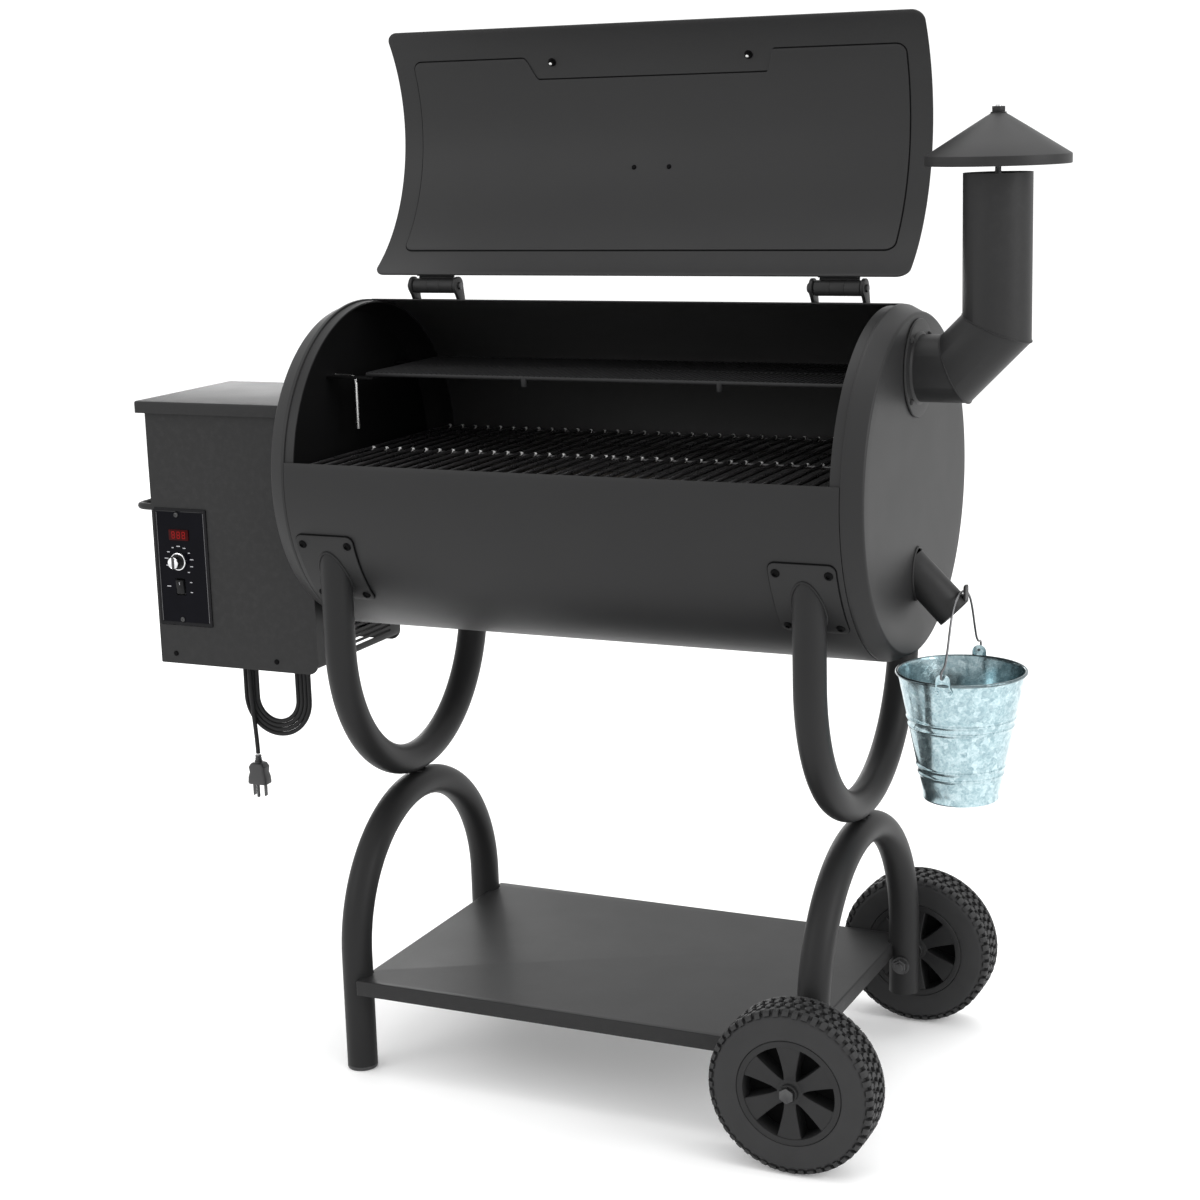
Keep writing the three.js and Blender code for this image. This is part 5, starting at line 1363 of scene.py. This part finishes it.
# bin lid: pan with rounded edges and corners
LX0, LX1, LY0, LY1, LZ0, LZ1 = -674.0, -402.2, -121.0, 114.8, 873.4, 889.5
ro_ = lambda q, r: rounded([(LX0 + q, LY0 + q), (LX1 - q, LY0 + q), (LX1 - q, LY1 - q), (LX0 + q, LY1 - q)], r, 6)
bm = bmesh.new()
vo = []
for z, q in ((LZ0, 0), (LZ1 - 2.6, 0), (LZ1 - 1.5, 0.25), (LZ1 - 0.7, 0.8), (LZ1 - 0.15, 1.6), (LZ1, 2.6)):
    vo.append([bm.verts.new((p[0], p[1], z)) for p in ro_(q, 5 - q * 0.5)])
vi = [[bm.verts.new((p[0], p[1], z)) for p in ro_(1.5, 3.6)] for z in (LZ0, LZ1 - 1.5)]
quads(bm, vo, False, True)
quads(bm, vi, False, True)
quads(bm, [vo[0], vi[0]], False, True)
bm.faces.new(vo[-1])
bm.faces.new(vi[-1])
for x in (-625, -440):
    bm = boolean(bm, block(x - 2, x + 7, LY1 - 4, LY1 + 4, LZ0 - 5, 883.5))
emit("hopper_lid_pan", bm, PAINT, "hopper_lid_panel", "hopper_lid", sharp=40)
bm = bmesh.new()
for x in (-625, -440):
    for a0, a1 in ((x - 12, x - 2.5), (x + 7.5, x + 17)):
        lathe([(2.8, a0), (4.2, a0), (4.2, a1), (2.8, a1)], "x", (0, 119, 877), 32, closed=True, bm=bm)
emit("hopper_lid_knuckles", bm, PAINT, "hopper_lid_panel", sharp=40)

# pellet bin: kept from the frame, seen with the lid up
paint_node("pellet_bin", ZINC)

# side handle
P = [(-663, -90, 738), (-680, -90, 738), (-690, -89.2, 738), (-698.4, -84.6, 738), (-702, -75, 738), (-702, -50, 738), (-702, 0, 738), (-702, 50, 738), (-702, 75, 738), (-698.4, 84.6, 738), (-690, 89.2, 738), (-680, 90, 738), (-663, 90, 738)]
bm = tube(smooth_path(P, 3.0), 4.9, 24, up=(0, 0, 1))
for y in (-90, 90):
    lathe([(0, -662.2), (9, -662.2), (9, -663.6), (8.2, -664.8), (6, -665), (0, -665)], "x", (0, y, 738), 32, bm=bm)
emit("hopper_side_handle", bm, PAINT, "body", "hopper_handle", sharp=45)

# ------------------------------------------------------------------ control panel
PX0, PX1, PZ0, PZ1, PY = -658.0, -572.0, 577.0, 742.0, -112.3
bm = bmesh.new()


def rect(q, y, r):
    return [bm.verts.new((p[0], y, p[1])) for p in rounded([(PX0 + q, PZ0 + q), (PX1 - q, PZ0 + q), (PX1 - q, PZ1 - q), (PX0 + q, PZ1 - q)], r, 6)]


rows = [rect(0, PY, 2.0), rect(0, PY - 1.0, 2.0), rect(0.9, PY - 2.0, 1.8), rect(3.6, PY - 2.0, 1.2), rect(5.0, PY - 1.0, 0.9)]
quads(bm, rows, False, True, 0)
f = bm.faces.new(rows[-1])
f.material_index = 1
bm.faces.new(rows[0])
bm = boolean(bm, block(-628.5, -612.5, PY - 5, PY + 5, 620, 644))
emit("panel_plate", bm, [FRAME_P, PANEL], "body", "control_panel", sharp=20)
# painted highlights: light grey strips on the inner bevels of the frame's two upright sides
bm = bmesh.new()
for x0, x1 in ((PX0 + 4.2, PX0 + 4.9), (PX1 - 4.9, PX1 - 4.2)):
    block(x0, x1, PY - 1.5, PY - 1.0, PZ0 + 6, PZ1 - 6, bm)
emit("panel_bevel_highlights", bm, WIRE, "body", sharp=60)
# the plate's two fixing screws
bm = bmesh.new()
for z in (733, 586):
    rows = []
    for r, y in ((3.6, PY - 1.0), (3.6, PY - 1.8), (3.0, PY - 2.7), (2.0, PY - 3.1), (1.2, PY - 3.1), (0.9, PY - 2.3)):
        rows.append([bm.verts.new((-620.5 + r * math.cos(2 * math.pi * j / 24), y, z + r * math.sin(2 * math.pi * j / 24))) for j in range(24)])
    quads(bm, rows, False, True)
    bm.faces.new(rows[-1])
    bm.faces.new(rows[0])
emit("panel_screws", bm, BLACKENED, "body", sharp=45)
bm = prism(rounded([(-634, 697.5), (-602, 697.5), (-602, 712.5), (-634, 712.5)], 1.2, 5), "y", PY - 2.6, PY - 1.0)
emit("panel_display", bm, DISPLAY, "body", "display_window", bev=0.4)
# three lit digits' segments, all the same generic pattern
bm = bmesh.new()
for i in range(3):
    cx = -626.5 + 8.4 * i
    w, hh, t = 2.1, 4.4, 0.55
    for x0, x1, z0, z1 in (
        (cx - w, cx + w, hh - t, hh + t),
        (cx - w, cx + w, -t, t),
        (cx - w, cx + w, -hh - t, -hh + t),
        (cx - w - t, cx - w + t, 0.4, hh - 0.4),
        (cx + w - t, cx + w + t, 0.4, hh - 0.4),
        (cx - w - t, cx - w + t, -hh + 0.4, -0.4),
        (cx + w - t, cx + w + t, -hh + 0.4, -0.4),
    ):
        block(x0, x1, PY - 2.75, PY - 2.62, 705 + z0, 705 + z1, bm)
emit("panel_display_digits", bm, SEGMENT, "body")
# plain printed marks: a ring of ticks round the knob and two dots by the switch
bm = bmesh.new()
for i in range(10):
    a_ = rad(-45 + 27 * i + 0)
    c_, s_ = math.cos(a_), math.sin(a_)
    r2, w2, l2 = 21.0, 0.62, 1.7 + (i % 3) * 0.6
    prism([(-620.5 + r2 * c_ - l2, 668 + r2 * s_ - w2), (-620.5 + r2 * c_ + l2, 668 + r2 * s_ - w2), (-620.5 + r2 * c_ + l2, 668 + r2 * s_ + w2), (-620.5 + r2 * c_ - l2, 668 + r2 * s_ + w2)], "y", PY - 1.12, PY - 0.95, bm)
for x, z, l2 in ((-640, 632, 3.2), (-603, 639, 1.8), (-603, 625, 1.8)):
    prism([(x - l2, z - 0.62), (x + l2, z - 0.62), (x + l2, z + 0.62), (x - l2, z + 0.62)], "y", PY - 1.12, PY - 0.95, bm)
emit("panel_marks", bm, PRINT, "body")

# knob: bright skirt ring, fluted cap, pointer line
bm = bmesh.new()
KX, KZ = -620.5, 668.0
rows = []
for r, y in ((12.6, PY - 1.8), (12.6, PY - 3.6), (12.0, PY - 4.6), (11.0, PY - 4.9), (10.2, PY - 4.4), (9.8, PY - 4.0)):
    rows.append([bm.verts.new((KX + r * math.cos(2 * math.pi * j / 96), y, KZ + r * math.sin(2 * math.pi * j / 96))) for j in range(96)])
for r, y in ((9.4, PY - 4.2), (9.2, PY - 8.0), (8.9, PY - 14.0), (8.4, PY - 16.2), (7.6, PY - 17.0), (6.8, PY - 16.6), (0.6, PY - 16.4)):
    fl = 0.35 if PY - 15 < y < PY - 5 else 0
    rows.append([bm.verts.new((KX + (r - fl * (0.5 + 0.5 * math.cos(24 * 2 * math.pi * j / 96))) * math.cos(2 * math.pi * j / 96), y, KZ + (r - fl * (0.5 + 0.5 * math.cos(24 * 2 * math.pi * j / 96))) * math.sin(2 * math.pi * j / 96))) for j in range(96)])
quads(bm, rows[:5], False, True)
quads(bm, rows[4:10], False, True, 1)
quads(bm, rows[9:], False, True)
bm.faces.new(rows[0])
bm.faces.new(rows[-1])
emit("knob_cap", bm, [CHROME, BLACKENED], "knob", "selector_knob", sharp=40)
bm = prism(rounded([(KX - 1.3, KZ - 8.6), (KX + 1.3, KZ - 8.6), (KX + 1.3, KZ + 8.8), (KX - 1.3, KZ + 8.8)], 1.2, 4), "y", PY - 17.9, PY - 16.0)
emit("knob_grip", bm, BLACKENED, "knob", bev=0.3)

# rocker switch in its own small frame
bm = bmesh.new()
sec = []
for y, w, hgt in ((PY + 2.4, 6.4, 9.9), (PY - 2.2, 6.4, 9.9), (PY - 3.2, 6.0, 9.4), (PY - 3.5, 5.4, 8.8)):
    sec.append([(-620.5 + p[0], y, 632 + p[1]) for p in rounded([(-w, -hgt), (w, -hgt), (w, hgt), (-w, hgt)], 1.0, 4)])
loft(sec, True, True, bm)
turn(bm, about("X", 7, (-620.5, PY - 0.6, 632)))
emit("rocker_switch", bm, ROCKER, "rocker", "power_switch", sharp=40)
bm = block(-620.9, -620.1, PY - 3.75, PY - 3.4, 635.5, 639.5)
turn(bm, about("X", 7, (-620.5, PY - 0.6, 632)))
emit("rocker_mark", bm, PRINT, "rocker")

# ------------------------------------------------------------------ stage
floor_me = bpy.data.meshes.new("floor")
fb = bmesh.new()
vs = [fb.verts.new(p) for p in ((-30, -30, 0), (30, -30, 0), (30, 30, 0), (-30, 30, 0))]
fb.faces.new(vs)
fb.to_mesh(floor_me)
fb.free()
fm = Mat("studio_floor")
fm.to("Base Color", fm.ramp(fm.noise(0.7, 2), [(0.3, (0.90, 0.90, 0.90)), (0.7, (0.92, 0.92, 0.92))]))
fm.set(Roughness=0.75)
fm.b.inputs["Emission Color"].default_value = (1, 1, 1, 1)
fm.b.inputs["Emission Strength"].default_value = 0.12
floor_me.materials.append(fm.m)
floor = bpy.data.objects.new("floor", floor_me)
floor.location = (0, 0, -0.0004)
scene.collection.objects.link(floor)

world = bpy.data.worlds.new("studio")
scene.world = world
world.use_nodes = True
bg = world.node_tree.nodes["Background"]
bg.inputs[0].default_value = (1, 1, 1, 1)
bg.inputs[1].default_value = 1.15
scene.view_settings.view_transform = "Standard"


def area(name, loc, aim, size, power, size_y=None):
    ld = bpy.data.lights.new(name, "AREA")
    ld.shape = "RECTANGLE"
    ld.size = size
    ld.size_y = size_y or size
    ld.energy = power
    o = bpy.data.objects.new(name, ld)
    o.location = loc
    o.rotation_mode = "QUATERNION"
    o.rotation_quaternion = (Vector(aim) - Vector(loc)).to_track_quat("-Z", "Y")
    scene.collection.objects.link(o)
    return o


area("key_top", (0.3, 0.6, 3.6), (0, 0, 0.7), 3.2, 55)
area("rim_back", (-3.7, 4.3, 1.30), (-0.47, 0, 0.89), 2.0, 31, 0.7)
area("right", (4.0, -0.6, 2.2), (0.3, 0, 0.8), 2.2, 70)
area("front_left", (-2.6, -3.4, 2.6), (0, 0, 0.7), 2.0, 30)
